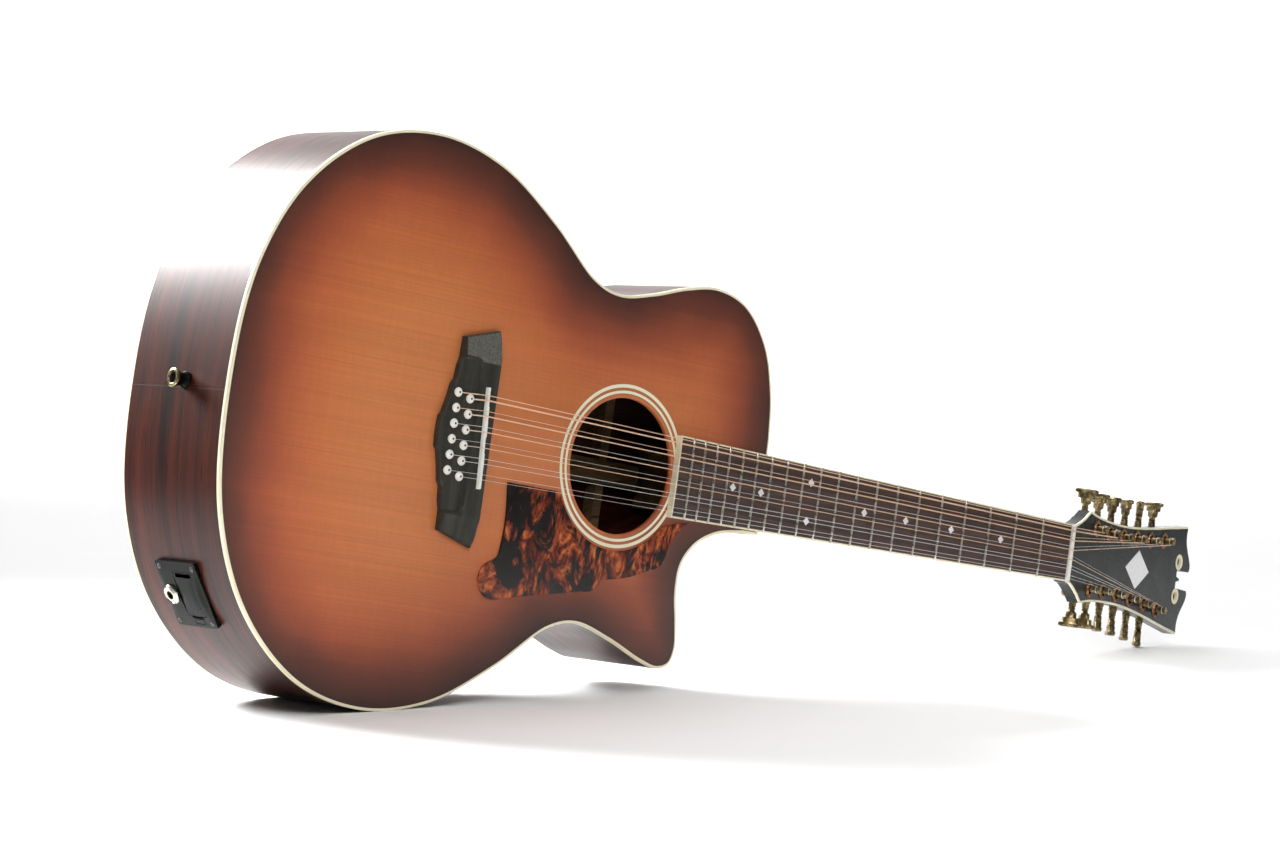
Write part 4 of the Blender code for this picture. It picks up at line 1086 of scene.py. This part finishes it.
def board_strip(x_from, x_to, edges, lift=0.0, steps=16):
    """A strip of the board between two x and two edges, each a rule in x, following the rounded face."""
    rings = []
    count = 40 if x_to - x_from > 0.1 else 2
    for i in range(count + 1):
        x = x_from + (x_to - x_from) * i / count
        low, high = edges[0](x), edges[1](x)
        ring = []
        for k in range(steps + 1):
            z = low + (high - low) * k / steps
            ring.append((x, board_y(z) - lift, z))
        rings.append(ring + [(x, -HAIR, high), (x, -HAIR, low)])
    return loft(rings)


def fingerboard():
    """The board with its binding along both edges and across its end."""
    def inner(x):
        return half_width(x) - BOARD_BINDING

    end = NUT_X - HAIR
    start = BOARD_END_X + BOARD_BINDING
    board = board_strip(start, end, (lambda x: -inner(x), inner))
    piece("board", board, "rosewood", nodes=("fingerboard",))
    piece("board_binding_bass", board_strip(start, end, (inner, half_width), steps=2), "cream", bevel=0.0002)
    treble = board_strip(start, end, (lambda x: -half_width(x), lambda x: -inner(x)), steps=2)
    piece("board_binding_treble", treble, "cream", bevel=0.0002)
    across = board_strip(BOARD_END_X, start, (lambda x: -half_width(x), half_width))
    piece("board_binding_end", across, "cream", bevel=0.0002)


def frets():
    """Crowned wire across the board, with its ends dressed back."""
    for fret in range(1, FRET_COUNT + 1):
        x = fret_x(fret)
        reach = half_width(x) - 0.0001
        rings = []
        span = 2 * reach - 2 * FRET_DRESS
        stations = [(-reach, 0.0), (-reach + FRET_DRESS, 1.0)]
        stations += [(-reach + FRET_DRESS + span * i / FRET_STEPS, 1.0) for i in range(1, FRET_STEPS + 1)]
        stations.append((reach, 0.0))
        for z, share in stations:
            ring = []
            for k in range(9):
                angle = pi * k / 8
                lift = FRET_HEIGHT * sin(angle) * (0.25 + 0.75 * share)
                ring.append((x - FRET_WIDTH / 2 * cos(angle), board_y(z) + HAIR - lift, z))
            rings.append(ring + [(x + 0.0003, board_y(z) + 0.0010, z), (x - 0.0003, board_y(z) + 0.0010, z)])
        piece(f"fret_{fret}", loft(rings), "fret_wire", angle=50)


def inlays():
    """A small diamond in the middle of its fret space, flush with the board."""
    for space, rows in INLAY_SPACES.items():
        middle = (fret_x(space) + fret_x(space - 1)) / 2
        for number, z in enumerate(rows, 1):
            corners = [(middle - INLAY_REACH, z), (middle, z - INLAY_REACH), (middle + INLAY_REACH, z),
                       (middle, z + INLAY_REACH)]
            top_y = board_y(z) - 2 * HAIR
            piece(f"inlay_{space}_{number}", plate([corners], top_y, top_y + 0.0008), "pearl")


def nut():
    """Bone with a rounded top and a groove under each string."""
    profile = [(0, -HAIR), (0, NUT_TOP + 0.0006), (0.0008, NUT_TOP + 0.0001), (0.0016, NUT_TOP),
               (0.0034, NUT_TOP + 0.0002), (0.0048, NUT_TOP + 0.0011), (NUT_THICK, NUT_TOP + 0.0024),
               (NUT_THICK, -HAIR)]
    stations = {-HALF_WIDTH_NUT: 0.0, HALF_WIDTH_NUT: 0.0}
    for z, radius in nut_places():
        depth = radius * 0.9
        stations.update({z - radius * 1.5: 0.0, z - radius * 0.6: depth, z + radius * 0.6: depth,
                         z + radius * 1.5: 0.0})
    rings = []
    for z, depth in sorted(stations.items()):
        rings.append([(NUT_X + x, y if y > -0.001 else y + depth, z) for x, y in profile])
    piece("nut_bone", loft(rings), "bone", nodes=("nut",), angle=50)


def nut_places():
    """Where each string crosses the nut, and its radius."""
    found = []
    for order, radius in enumerate(string_radii()):
        course, member = divmod(order, 2)
        lean = 1 if member == 0 else -1
        found.append((NUT_COURSE - NUT_PITCH * course + lean * NUT_PAIR, radius))
    return found


def neck_section(x, top_y, depth, taper, steps=20):
    """A ring with a flat top and a rounded underside; taper narrows it towards the bottom."""
    width = half_width(min(x, NUT_X))
    ring = [(x, top_y, -width), (x, top_y, width)]
    for i in range(steps):
        angle = pi * (i + 1) / (steps + 1)
        across = cos(angle)
        narrowed = abs(across) ** taper * (1 if across > 0 else -1)
        ring.append((x, top_y + (depth - top_y) * sin(angle) ** 0.8, width * narrowed))
    return ring


def neck():
    """Heel and shaft as one loft that runs under the headstock's root."""
    start = BODY_LENGTH + 0.0001
    stations = [start + HEEL_LENGTH * (i / HEEL_RINGS) ** HEEL_CROWDING for i in range(HEEL_RINGS + 1)]
    shaft = NUT_X + NUT_THICK - stations[-1]
    stations += [stations[-1] + shaft * i / SHAFT_RINGS for i in range(1, SHAFT_RINGS + 1)]
    rings = []
    for x in stations:
        along = (x - BODY_LENGTH) / (NUT_X - BODY_LENGTH)
        depth = SHAFT_DEPTH_HEEL + (SHAFT_DEPTH_NUT - SHAFT_DEPTH_HEEL) * along
        heel = max(0.0, 1 - (x - BODY_LENGTH) / HEEL_LENGTH)
        rings.append(neck_section(x, 0, depth + (HEEL_DEPTH - depth) * heel ** HEEL_POWER, 1 + 0.7 * heel))
    rings.append(neck_section(NECK_END_X, NECK_END_TOP, SHAFT_DEPTH_NUT - 0.001, 1))
    piece("neck_shaft", loft(rings), "neck_wood", nodes=("neck",), angle=60)


# ---------------------------------------------------------------- headstock

def headstock_runs(width=0.0):
    """Half of the headstock's edge: shoulder and side, both moved in by a width, crown and notch."""
    flank = [(0.0020, 0.0243), (0.0070, 0.0250), (0.0120, 0.0268), (0.0220, 0.0318), (0.0330, 0.0392),
             (0.0500, 0.0365), (0.0800, 0.0347), (0.1100, 0.0348), (0.1400, 0.0368), (0.1700, 0.0400),
             (0.2000, 0.0438), (0.2390, 0.0486)]
    crown = [(0.2386, 0.0400), (0.2402, 0.0330), (0.2442, 0.0265), (0.2500, 0.0190), (0.2526, 0.0140),
             (0.2526, 0.0105), (0.2510, 0.0084)]
    if width:
        moved = inset([*flank, (0.2390, 0), (0.0020, 0)], width)
        flank = [(flank[0][0], moved[0][1]), *moved[1:11], (flank[-1][0], moved[11][1])]
    return flank[:5], flank[4:], [flank[-1], *crown], [crown[-1], (0.2260, 0.0080)]


def headstock_outline(width=0.0):
    """The headstock from the front: flared shoulders, waisted sides and two lobes with a notch between."""
    half = headstock_runs(width)
    other = [[(x, -z) for x, z in reversed(run)] for run in reversed(half)]
    return joined(*half, [half[-1][-1], other[0][0]], *other, [other[-1][-1], half[0][0]])


def post_places():
    """Each tuner's name and its post's place on the headstock, nearest the nut first."""
    for side, sign in (("bass", 1), ("treble", -1)):
        for i, (x, z) in enumerate(zip(POST_X, POST_Z)):
            yield f"{side}_{i + 1}", side, sign, i, x, sign * z


def headstock():
    """The core with its face, side bindings, eyelets and ornament."""
    outline = headstock_outline()
    holes = [circle(x, z, POST_HOLE_RADIUS, 24) for *_, x, z in post_places()]
    eyes = [(EYELET_PLACE[0], sign * EYELET_PLACE[1]) for sign in (-1, 1)]
    holes += [circle(x, z, EYELET_BORE, 32) for x, z in eyes]
    core = plate([outline, *holes], VENEER_THICK + HAIR, HEAD_THICK)
    piece("headstock_core", core, "lacquer", HEAD, bevel=0.0006)
    panel = plate([headstock_outline(HEAD_BINDING + HAIR), *holes], 0, VENEER_THICK)
    piece("headstock_face", panel, "lacquer", HEAD, nodes=("headstock_veneer",))
    outer = joined(*headstock_runs()[:2])
    inner = joined(*headstock_runs(HEAD_BINDING)[:2])
    for side, sign in (("bass", 1), ("treble", -1)):
        strip = [(x, sign * z) for x, z in outer + inner[::-1]]
        piece(f"headstock_binding_{side}", plate([strip], 0, VENEER_THICK), "cream", HEAD, bevel=0.0003)
    point = [(0.2262, 0.0024), (0.2330, 0.0010), (0.2330, -0.0010), (0.2262, -0.0024)]
    piece("notch_point", plate([point], 0, HEAD_THICK), "lacquer", HEAD, bevel=0.0004)
    for number, (x, z) in enumerate(eyes, 1):
        sleeve = EYELET_BORE - HAIR
        ring = turned([(-0.0007, EYELET_HOLE + 0.0004), (-0.0007, EYELET_RADIUS - 0.0003),
                       (-0.0004, EYELET_RADIUS), (-HAIR, EYELET_RADIUS), (-HAIR, sleeve),
                       (VENEER_THICK, sleeve), (VENEER_THICK, EYELET_HOLE), (-0.0003, EYELET_HOLE)],
                      RING_SIDES, closed=True)
        piece(f"eyelet_{number}", ring, "cream", head_place(x, z), angle=30)
    long, wide = 0.0250, 0.0170
    diamond = [(ORNAMENT_X - long, 0), (ORNAMENT_X, -wide), (ORNAMENT_X + long, 0), (ORNAMENT_X, wide)]
    piece("ornament", plate([diamond], -2 * HAIR, 0.0006), "pearl", HEAD)


# ---------------------------------------------------------------- tuners

def toothed_ring(y, radius, teeth, depth, points=4):
    """A gear's outline at a depth of the headstock's frame."""
    ring = []
    for i in range(teeth * points):
        reach = radius if i % points in (0, 1) else radius - depth
        angle = tau * i / (teeth * points)
        ring.append((reach * cos(angle), y, reach * sin(angle)))
    return ring


def tuner_post(label, x, z):
    """A waisted post with a cross hole, and its gear on the same axle."""
    sides = GEAR_TEETH * 4
    rim = POST_RADIUS + 0.0005
    profile = [(POST_TOP, rim - 0.0006), (POST_TOP + 0.0004, rim - 0.0001), (POST_TOP + 0.0008, rim),
               (POST_TOP + 0.0018, rim), (POST_TOP + 0.0024, POST_RADIUS - 0.0001),
               (-0.0060, POST_RADIUS - 0.0003), (-0.0030, POST_RADIUS - 0.0002), (-0.0020, POST_RADIUS),
               (GEAR_FRONT - 0.0003, POST_RADIUS)]
    rings = [round_ring(y, radius, sides) for y, radius in profile]
    rings += [toothed_ring(y, GEAR_RADIUS, GEAR_TEETH, TOOTH_DEPTH) for y in (GEAR_FRONT, GEAR_BACK)]
    name = f"tuner_post_{label}"
    made = piece(f"post_{label}", loft(rings), "brass", head_place(x, z), name, (name,), angle=30)
    hole = turned([(-0.006, 0.0008), (0.006, 0.0008)], 16)
    hole.transform(Matrix.Translation((0, POST_TOP + 0.0034, 0)) @ Matrix.Rotation(pi / 2, 4, "Z"))
    cut(made, hole)
    made.data.set_sharp_from_angle(angle=radians(30))


def oval(wide, thick, y, squareness=2.6):
    """A rounded oval ring round the Z axis of a button."""
    ring = []
    for i in range(BUTTON_SIDES):
        c, s = cos(tau * i / BUTTON_SIDES), sin(tau * i / BUTTON_SIDES)
        ring.append((wide * abs(c) ** (2 / squareness) * (1 if c > 0 else -1),
                     thick * abs(s) ** (2 / squareness) * (1 if s > 0 else -1), y))
    return ring


def tuner_button(label, side, sign, i, x, z):
    """A threaded worm, its shaft with a collar, and a button in three steps that widen outwards."""
    tip = BUTTON_REACH
    rings = []
    slices = int(2 * WORM_HALF_LENGTH / WORM_SLICE)
    for k in range(slices + 1):
        y = -WORM_HALF_LENGTH + 2 * WORM_HALF_LENGTH * k / slices
        ring = []
        for s in range(BUTTON_SIDES):
            angle = tau * s / BUTTON_SIDES
            thread = 0.5 + 0.5 * cos(angle - tau * y / WORM_PITCH)
            radius = WORM_RADIUS - THREAD_DEPTH * (1 - thread)
            ring.append((radius * cos(angle), radius * sin(angle), y))
        rings.append(ring)
    stem = 0.0029
    shaft = ((0.0060, SHAFT_RADIUS), (0.0164, SHAFT_RADIUS), (0.0168, stem), (0.0182, stem), (0.0185, 0.0025),
             (0.0190, 0.0025), (tip - 0.0134, stem))
    rings += [oval(radius, radius, y, 2) for y, radius in shaft]
    # Each ring of the button: its way from the tip, half its width and half its thickness
    steps = ((0.0130, 0.0034, 0.0029), (0.0126, 0.0040, 0.0030), (0.0121, 0.0045, 0.0031),
             (0.0084, 0.0047, 0.0031), (0.0081, 0.0050, 0.0032), (0.0079, 0.0066, 0.0033),
             (0.0075, 0.0071, 0.0034), (0.0041, 0.0073, 0.0034), (0.0037, 0.0076, 0.0035),
             (0.0035, 0.0092, 0.0037), (0.0031, 0.0099, 0.0038), (0.0026, 0.0101, 0.0039),
             (0.0012, 0.0101, 0.0039), (0.0006, 0.0098, 0.0037), (0.0002, 0.0090, 0.0032),
             (0.0, 0.0078, 0.0024))
    rings += [oval(wide, thick, tip - way) for way, wide, thick in steps]
    mesh = loft([[(px, py, sign * pz) for px, py, pz in ring] for ring in rings])
    place = head_place(x + WORM_OFFSET, z, WORM_Y) @ Matrix.Rotation(radians(BUTTON_TURN[side][i]), 4, "Z")
    name = f"tuner_button_{label}"
    piece(f"button_{label}", mesh, "brass", place, name, (name,), angle=30)


def rounded_box(low, high, radius, y, steps=6):
    """A rectangle with round corners in (x, z), at one y."""
    ring = []
    left, right, under, over = low[0] + radius, high[0] - radius, low[1] + radius, high[1] - radius
    for cx, cz, first in ((right, over, 0), (left, over, 90), (left, under, 180), (right, under, 270)):
        for k in range(steps + 1):
            angle = radians(first + 90 * k / steps)
            ring.append((cx + radius * cos(angle), y, cz + radius * sin(angle)))
    return ring


def housing(label, sign, x, z, nodes):
    """A cast cup over worm and gear, with a boss for the shaft and a screw in its back."""
    low = (x - HOUSING_REACH[0], z - HOUSING_HALF_WIDTH)
    high = (x + HOUSING_REACH[1], z + HOUSING_HALF_WIDTH)
    levels = [(HOUSING_WALL, HOUSING_BACK - HOUSING_WALL), (HOUSING_WALL, HOUSING_FRONT), (0, HOUSING_FRONT)]
    levels += [(shrink, HOUSING_BACK - deep) for deep, shrink in quarter(HOUSING_ROUND, 5)]
    rings = []
    for shrink, y in levels:
        rings.append(rounded_box((low[0] + shrink, low[1] + shrink), (high[0] - shrink, high[1] - shrink),
                                 HOUSING_CORNER - shrink * 0.6, y))
    made = piece(f"housing_{label}", loft(rings), "brass", HEAD, nodes=nodes, angle=40)
    outwards = Matrix.Translation((x + WORM_OFFSET, WORM_Y, z)) @ Matrix.Rotation(sign * pi / 2, 4, "X")
    bore = turned([(0.0040, SHAFT_RADIUS + 0.0003), (0.0120, SHAFT_RADIUS + 0.0003)], 24)
    bore.transform(outwards)
    cut(made, bore)
    made.data.set_sharp_from_angle(angle=radians(40))
    boss = turned([(0.0080, 0.0025), (0.0080, 0.0037), (0.0116, 0.0037), (0.0119, 0.0032), (0.0160, 0.0030),
                   (0.0163, 0.0027), (0.0163, 0.0025)], 28, closed=True)
    piece(f"boss_{label}", boss, "brass", HEAD @ outwards)
    screw(f"housing_screw_{label}", head_place(x - 0.0020, z, HOUSING_BACK - 0.0006), 0.0022)


def screw(name, place, radius):
    """A domed screw head that stands on +Y, with a cross cut into it."""
    profile = [(-0.0008, radius * 0.9), (0.0, radius), (0.0002, radius * 0.96), (0.00045, radius * 0.78),
               (0.0006, radius * 0.45)]
    made = piece(name, turned(profile, 24), "screw", place)
    arm, half = radius * 0.62, radius * 0.13
    cross = plate([[(arm, half), (half, half), (half, arm), (-half, arm), (-half, half), (-arm, half),
                    (-arm, -half), (-half, -half), (-half, -arm), (half, -arm), (half, -half), (arm, -half)]],
                  0.0001, 0.002)
    cut(made, cross)


def washer(label, x, z):
    """A stepped bushing round the post on the headstock's face."""
    rim = WASHER_RADIUS
    profile = [(-0.0001, rim - 0.0028), (-0.0001, rim), (-0.0006, rim), (-0.0010, rim - 0.0004),
               (-0.0010, rim - 0.0008), (-0.0006, rim - 0.0011), (-0.0006, rim - 0.0014),
               (-0.0013, rim - 0.0017), (-0.0017, rim - 0.0020), (-0.0017, rim - 0.0023),
               (-0.0012, rim - 0.0027), (-0.0005, rim - 0.0028)]
    piece(f"bushing_{label}", turned(profile, RING_SIDES, closed=True), "bushing", head_place(x, z), angle=30)


def plate_ear(side, sign):
    """The end of a machine plate beside the nut: a strip with a round ear and a screw."""
    x, z, radius, half = 0.0295, sign * 0.0279, 0.0044, 0.0030
    far_x, far_z = 0.0425, sign * 0.0262
    front, rear = HEAD_THICK + 0.0003, HEAD_THICK + 0.0022
    strip = [(x, z - half), (far_x, far_z - half), (far_x, far_z + half), (x, z + half)]
    piece(f"plate_neck_{side}", plate([strip], front, rear - 0.0004), "brass", HEAD, bevel=0.0003)
    ear = turned([(front, radius * 0.9), (front + 0.0004, radius), (rear - 0.0005, radius),
                  (rear, radius * 0.85)])
    piece(f"plate_ear_{side}", ear, "brass", head_place(x, z), angle=30)
    screw(f"ear_screw_{side}", head_place(x, z, rear), 0.0022)


def tuners():
    for side, sign in (("bass", 1), ("treble", -1)):
        plate_ear(side, sign)
    for label, side, sign, i, x, z in post_places():
        tuner_post(label, x, z)
        tuner_button(label, side, sign, i, x, z)
        housing(label, sign, x, z, (f"machine_plate_{side}",) if i == 0 else ())
        washer(label, x, z)


# ---------------------------------------------------------------- strings

def string_radii():
    return [thick / 1000 for course in COURSES for thick in course]


def string_route(order, radius, pin, post):
    """From its pin over the saddle and the nut, then round its post; order counts from the bass side."""
    course, member = divmod(order, 2)
    lean = 1 if member == 0 else -1
    at_saddle = SADDLE_COURSE - SADDLE_PITCH * course + lean * SADDLE_PAIR
    at_nut = NUT_COURSE - NUT_PITCH * course + lean * NUT_PAIR
    bass, treble = (Vector(end) for end in SADDLE_ENDS)
    saddle_x = bass.lerp(treble, (bass.y - at_saddle) / (bass.y - treble.y)).x
    over_saddle = SADDLE_TOP - radius
    over_nut = NUT_TOP - radius * 0.2
    start_x = pin[0] + PIN_RADIUS * 0.8
    share = (start_x - pin[0]) / (saddle_x - pin[0])
    route = [(start_x, RECESS_FLOOR - 0.0014, pin[1] + (at_saddle - pin[1]) * share),
             (saddle_x - 0.0012, over_saddle + 0.0004, at_saddle), (saddle_x, over_saddle, at_saddle),
             (saddle_x + 0.0012, over_saddle + 0.0001, at_saddle),
             (NUT_X, over_nut, at_nut), (NUT_X + NUT_THICK * 0.45, over_nut, at_nut),
             (NUT_X + NUT_THICK, over_nut + 0.0012, at_nut)]
    sign = 1 if order < 6 else -1
    wrap = POST_RADIUS + radius
    post_x, post_z = post
    nut_x = (NUT_X + NUT_THICK - HEAD_ORIGIN[0]) / cos(HEAD_TILT)
    heading = atan2(post_z - sign * wrap - at_nut, post_x - nut_x)
    first = heading - sign * pi / 2
    turns = PLAIN_WRAP_TURNS if radius < WOUND_FROM else WRAP_TURNS
    for i in range(int(WRAP_STEPS * turns) + 1):
        angle = first + sign * i * tau / WRAP_STEPS
        height = WRAP_START + i * WRAP_PITCH * radius / WRAP_STEPS
        route.append(on_headstock(post_x + wrap * cos(angle), height, post_z + wrap * sin(angle)))
    return route


def strings():
    pins_at = pin_places()
    posts = {"bass": list(zip(POST_X, POST_Z)), "treble": [(x, -z) for x, z in zip(POST_X, POST_Z)]}
    for order, radius in enumerate(string_radii()):
        post = posts["bass"][order] if order < 6 else posts["treble"][11 - order]
        mesh, along = tube(string_route(order, radius, pins_at[order], post), radius)
        grain = [(distance, 0, 0) for distance in along]
        name = f"string_{order + 1}"
        piece(f"{name}_wire", mesh, "bronze" if radius > WOUND_FROM else "steel", nodes=(name,), grain=grain)


# ---------------------------------------------------------------- tail fittings

def strap_button():
    """A flared button with a deep cup in its face and a cone behind it."""
    box_low, box_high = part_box("strap_button")
    centre = (box_low + box_high) / 2
    cup_from, cup_to, cup_radius, knob_end = -0.0113, -0.0065, 0.0040, -0.0088
    profile = [(-0.0070, 0.0026), (-0.0076, 0.0034), (-0.0112, 0.0039), (-0.0118, 0.0042), (-0.0120, 0.0048),
               (-0.0119, 0.0058), (-0.0114, 0.0065), (-0.0106, 0.0067), (-0.0098, 0.0065), (-0.0088, 0.0058),
               (-0.0072, 0.0050), (-0.0055, 0.0046), (-0.0035, 0.0047), (-0.0020, 0.0056), (-0.0012, 0.0060),
               (-HAIR, 0.0060)]
    local = STANCE.inverted() @ centre
    place = STANCE @ Matrix.Translation((0, local.y, local.z)) @ Matrix.Rotation(radians(-90), 4, "Z")
    mesh = turned(profile, RING_SIDES)
    # Faces inside the cup get near-black, painted shade in the hollow; the cone behind it is black plastic
    for face in mesh.faces:
        middle = face.calc_center_median()
        deep = cup_from < middle.y < cup_to and Vector((middle.x, middle.z)).length < cup_radius
        face.material_index = 1 if deep else 2 if middle.y > knob_end else 0
    piece("strap_knob", mesh, ("nickel", "hollow_painted_shade", "black_plastic"), place, nodes=("strap_button",),
          angle=30)


def rim_slab(arcs, depths, low, high, corner):
    """A slab that follows the treble rim, with round corners, from low to high outside it."""
    outline = rounded_box((arcs[0], depths[0]), (arcs[1], depths[1]), corner, 0)
    loop = [Vector((x, z)) for x, _, z in outline]
    points, faces = filled([loop], SLAB_PITCH)
    mesh = bmesh.new()

    def spot(arc, depth, out):
        point, _, outward = rim_at(arc)
        point = point + outward * out
        return (point.x, depth, point.y)

    for out in (low, high):
        vertices = [mesh.verts.new(spot(arc, depth, out)) for arc, depth in points]
        for face in faces:
            mesh.faces.new([vertices[i] for i in face])
    wall(mesh, [spot(*point, low) for point in loop], [spot(*point, high) for point in loop])
    return sealed(mesh)


def jack_plate():
    """The panel with its battery tray, four screws and the jack."""
    panel = piece("jack_panel", rim_slab(PANEL_ARC, PANEL_Y, HAIR, PANEL_LIFT + PANEL_THICK, 0.0022),
                  "black_plastic", nodes=("jack_plate",))
    tray_place = rim_matrix(sum(DOOR_ARC) / 2, sum(DOOR_Y) / 2)
    deep = BATTERY[1]

    def box_plate(grow, front, rear):
        return plate([oblong(BATTERY[0] / 2 + grow, BATTERY[2] / 2 + grow)], front, rear)

    hollow = box_plate(0, -0.01, 0.01)
    hollow.transform(tray_place)
    bore = turned([(-0.012, JACK_HOLE), (0.006, JACK_HOLE)])
    bore.transform(rim_matrix(JACK_ARC, JACK_Y))
    play, end = DOOR_PLAY, DOOR_ARC[1]
    arcs, depths = (DOOR_ARC[0] - play, end + play), (DOOR_Y[0] - play, DOOR_Y[1] + play)
    rebate = rim_slab(arcs, depths, DOOR_LOW - HAIR, DOOR_HIGH + 0.002, 0.0014)
    middle = sum(DOOR_Y) / 2
    clear = DOOR_HIGH + 0.002
    catch = rim_slab((end - 0.0006, end + 0.0017), (middle - 0.0070, middle + 0.0070), 0.0014, clear, 0.0004)
    pocket = rim_slab((end + 0.0021, end + 0.0069), (middle - 0.0056, middle + 0.0056), 0.0020, clear, 0.0006)
    grip = finger_slot(DOOR_HIGH - 0.0030)
    cut(panel, hollow, bore, rebate, catch, pocket, grip)
    panel.data.set_sharp_from_angle(angle=radians(35))
    round_edges(panel, 0.0006, angle=50)
    tray = piece("battery_tray", box_plate(TRAY_WALL, -deep - TRAY_WALL, -HAIR), "black_plastic",
                 STANCE @ tray_place)
    cut(tray, box_plate(0, -deep, 0.01))
    latch = rim_slab((end + 0.0028, end + 0.0062), (middle - 0.0048, middle + 0.0048), 0.0020, DOOR_HIGH,
                     0.0006)
    piece("battery_latch", latch, "black_plastic", bevel=0.0002)
    margin = 0.0042
    corners = [(arc, depth) for arc in (PANEL_ARC[0] + margin, PANEL_ARC[1] - margin)
               for depth in (PANEL_Y[0] + margin, PANEL_Y[1] - margin)]
    for number, (arc, depth) in enumerate(corners, 1):
        screw(f"panel_screw_{number}", STANCE @ rim_matrix(arc, depth, PANEL_LIFT + PANEL_THICK), 0.0019)


def output_jack():
    """The jack's socket with its ring nut and a bore painted dark as shade."""
    place = STANCE @ rim_matrix(JACK_ARC, JACK_Y)
    barrel = [(-0.0260, 0.0033), (0.0061, 0.0033), (0.0061, 0.0046), (0.0055, 0.0050), (0.0055, 0.0058),
              (0.0060, 0.0062), (0.0056, 0.0067), (0.0048, 0.0072), (0.0037, 0.0072), (0.0037, 0.0048),
              (-0.0300, 0.0048)]
    mesh = turned(barrel, 48)
    # Faces inside the bore get near-black: painted shade in the hollow
    for face in mesh.faces:
        middle = face.calc_center_median()
        within = Vector((middle.x, middle.z)).length < 0.0036 and middle.y < 0.0050
        face.material_index = 1 if within else 0
    piece("jack_socket", mesh, ("fret_wire", "hollow_painted_shade"), place, nodes=("output_jack",), angle=30)


def finger_slot(depth):
    """The slot across the door near its hinge, from a depth outwards."""
    long, wide = 0.0088, 0.0016
    slot = plate([oblong(wide, long)], depth, 0.010)
    slot.transform(rim_matrix(DOOR_ARC[0] + 0.0024, sum(DOOR_Y) / 2 - 0.0006))
    return slot


def battery_door():
    """The door lies flush in the panel with a finger slot, hinged on its edge nearest the seam."""
    door = piece("door_panel", rim_slab(DOOR_ARC, DOOR_Y, DOOR_LOW, DOOR_HIGH, 0.0012), "black_plastic",
                 body="battery_door", nodes=("battery_door",))
    cut(door, finger_slot(DOOR_LOW - 0.001))
    door.data.set_sharp_from_angle(angle=radians(35))
    round_edges(door, 0.0003, 2, 50)


# ---------------------------------------------------------------- studio

def sheet(name, place, aim, size, paper):
    """A flat sheet that faces a point, as floor or backdrop."""
    mesh = bmesh.new()
    bmesh.ops.create_grid(mesh, x_segments=1, y_segments=1, size=size)
    data = bpy.data.meshes.new(name)
    mesh.to_mesh(data)
    mesh.free()
    data.materials.append(paper)
    made = shown(name, data)
    made.location = place
    made.rotation_euler = (Vector(aim) - Vector(place)).to_track_quat("Z", "Y").to_euler()
    return made


def paper(name, dark, light):
    """A pale paper that drifts between two greys: its material and its colour."""
    m = Material(name)
    cloud = m.noise(m.around(), 3.0)
    return m, m.ramp(cloud, (0.3, srgb(dark, dark, dark)), (0.7, srgb(light, light, light)))


def studio():
    """A pale floor, a bright sheet behind the guitar, a dim room and three soft lights."""
    scene = bpy.context.scene
    scene.view_settings.view_transform = "Standard"
    ground, pale = paper("floor_paper", 250, 252)
    ground = ground.finish(pale, PAPER_ROUGHNESS)
    floor = sheet("floor", FLOOR_PLACE, (*FLOOR_PLACE[:2], 1), FLOOR_REACH, ground)
    floor.rotation_euler.z = radians(FLOOR_TURN)
    floor.scale.y = FLOOR_SHARE
    glow, pale = paper("backdrop_paper", 252, 254)
    glow.put(glow.shader.inputs["Emission Color"], pale)
    glow.shader.inputs["Emission Strength"].default_value = BACKDROP_GLOW
    sheet("backdrop", (1.9, 2.2, 1.2), (0, 0, 1.2), BACKDROP_REACH, glow.finish(pale, PAPER_ROUGHNESS))
    world = bpy.data.worlds.new("surround")
    scene.world = world
    world.use_nodes = True
    background = world.node_tree.nodes["Background"]
    background.inputs["Color"].default_value = (1, 1, 1, 1)
    background.inputs["Strength"].default_value = ROOM_LIGHT
    for name, (place, aim, size, power, spread) in LAMPS.items():
        lamp = bpy.data.lights.new(name, "AREA")
        lamp.energy = power
        lamp.spread = radians(spread)
        lamp.shape = "RECTANGLE"
        lamp.size, lamp.size_y = size
        holder = shown(name, lamp)
        holder.location = place
        holder.rotation_euler = (Vector(aim) - Vector(place)).to_track_quat("-Z", "Y").to_euler()


def camera():
    """The eye in front of the tail, level with the lower bout, looking along the neck."""
    eye = Vector((-1.39614861, -1.91994441, -0.15265041))
    right = Vector((0.72123356, -0.67892186, 0.13743093))
    down = Vector((0.14850097, -0.04224227, -0.98800964))
    ahead = Vector((0.67658673, 0.73299434, 0.07035401))
    turn = Matrix((right, -down, -ahead)).transposed().to_4x4()
    data = bpy.data.cameras.new("camera")
    data.lens = LENS_MM
    data.sensor_width = SENSOR_MM
    holder = shown("camera", data)
    holder.matrix_world = STANCE @ Matrix.Translation(eye) @ turn
    bpy.context.scene.camera = holder


def bare_timber():
    """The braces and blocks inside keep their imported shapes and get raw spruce."""
    for name in ("top_bracing", "back_bracing", "neck_block", "tail_block"):
        data = frame["nodes"][name].data
        data.materials.clear()
        data.materials.append(MATERIALS["bare_wood"])


camera()
studio()
top()
rosette()
back()
bindings()
sides()
bare_timber()
tail_seam()
pickguard()
bridge()
pins()
saddle()
fingerboard()
frets()
inlays()
nut()
neck()
headstock()
tuners()
strings()
strap_button()
jack_plate()
output_jack()
battery_door()
settle()
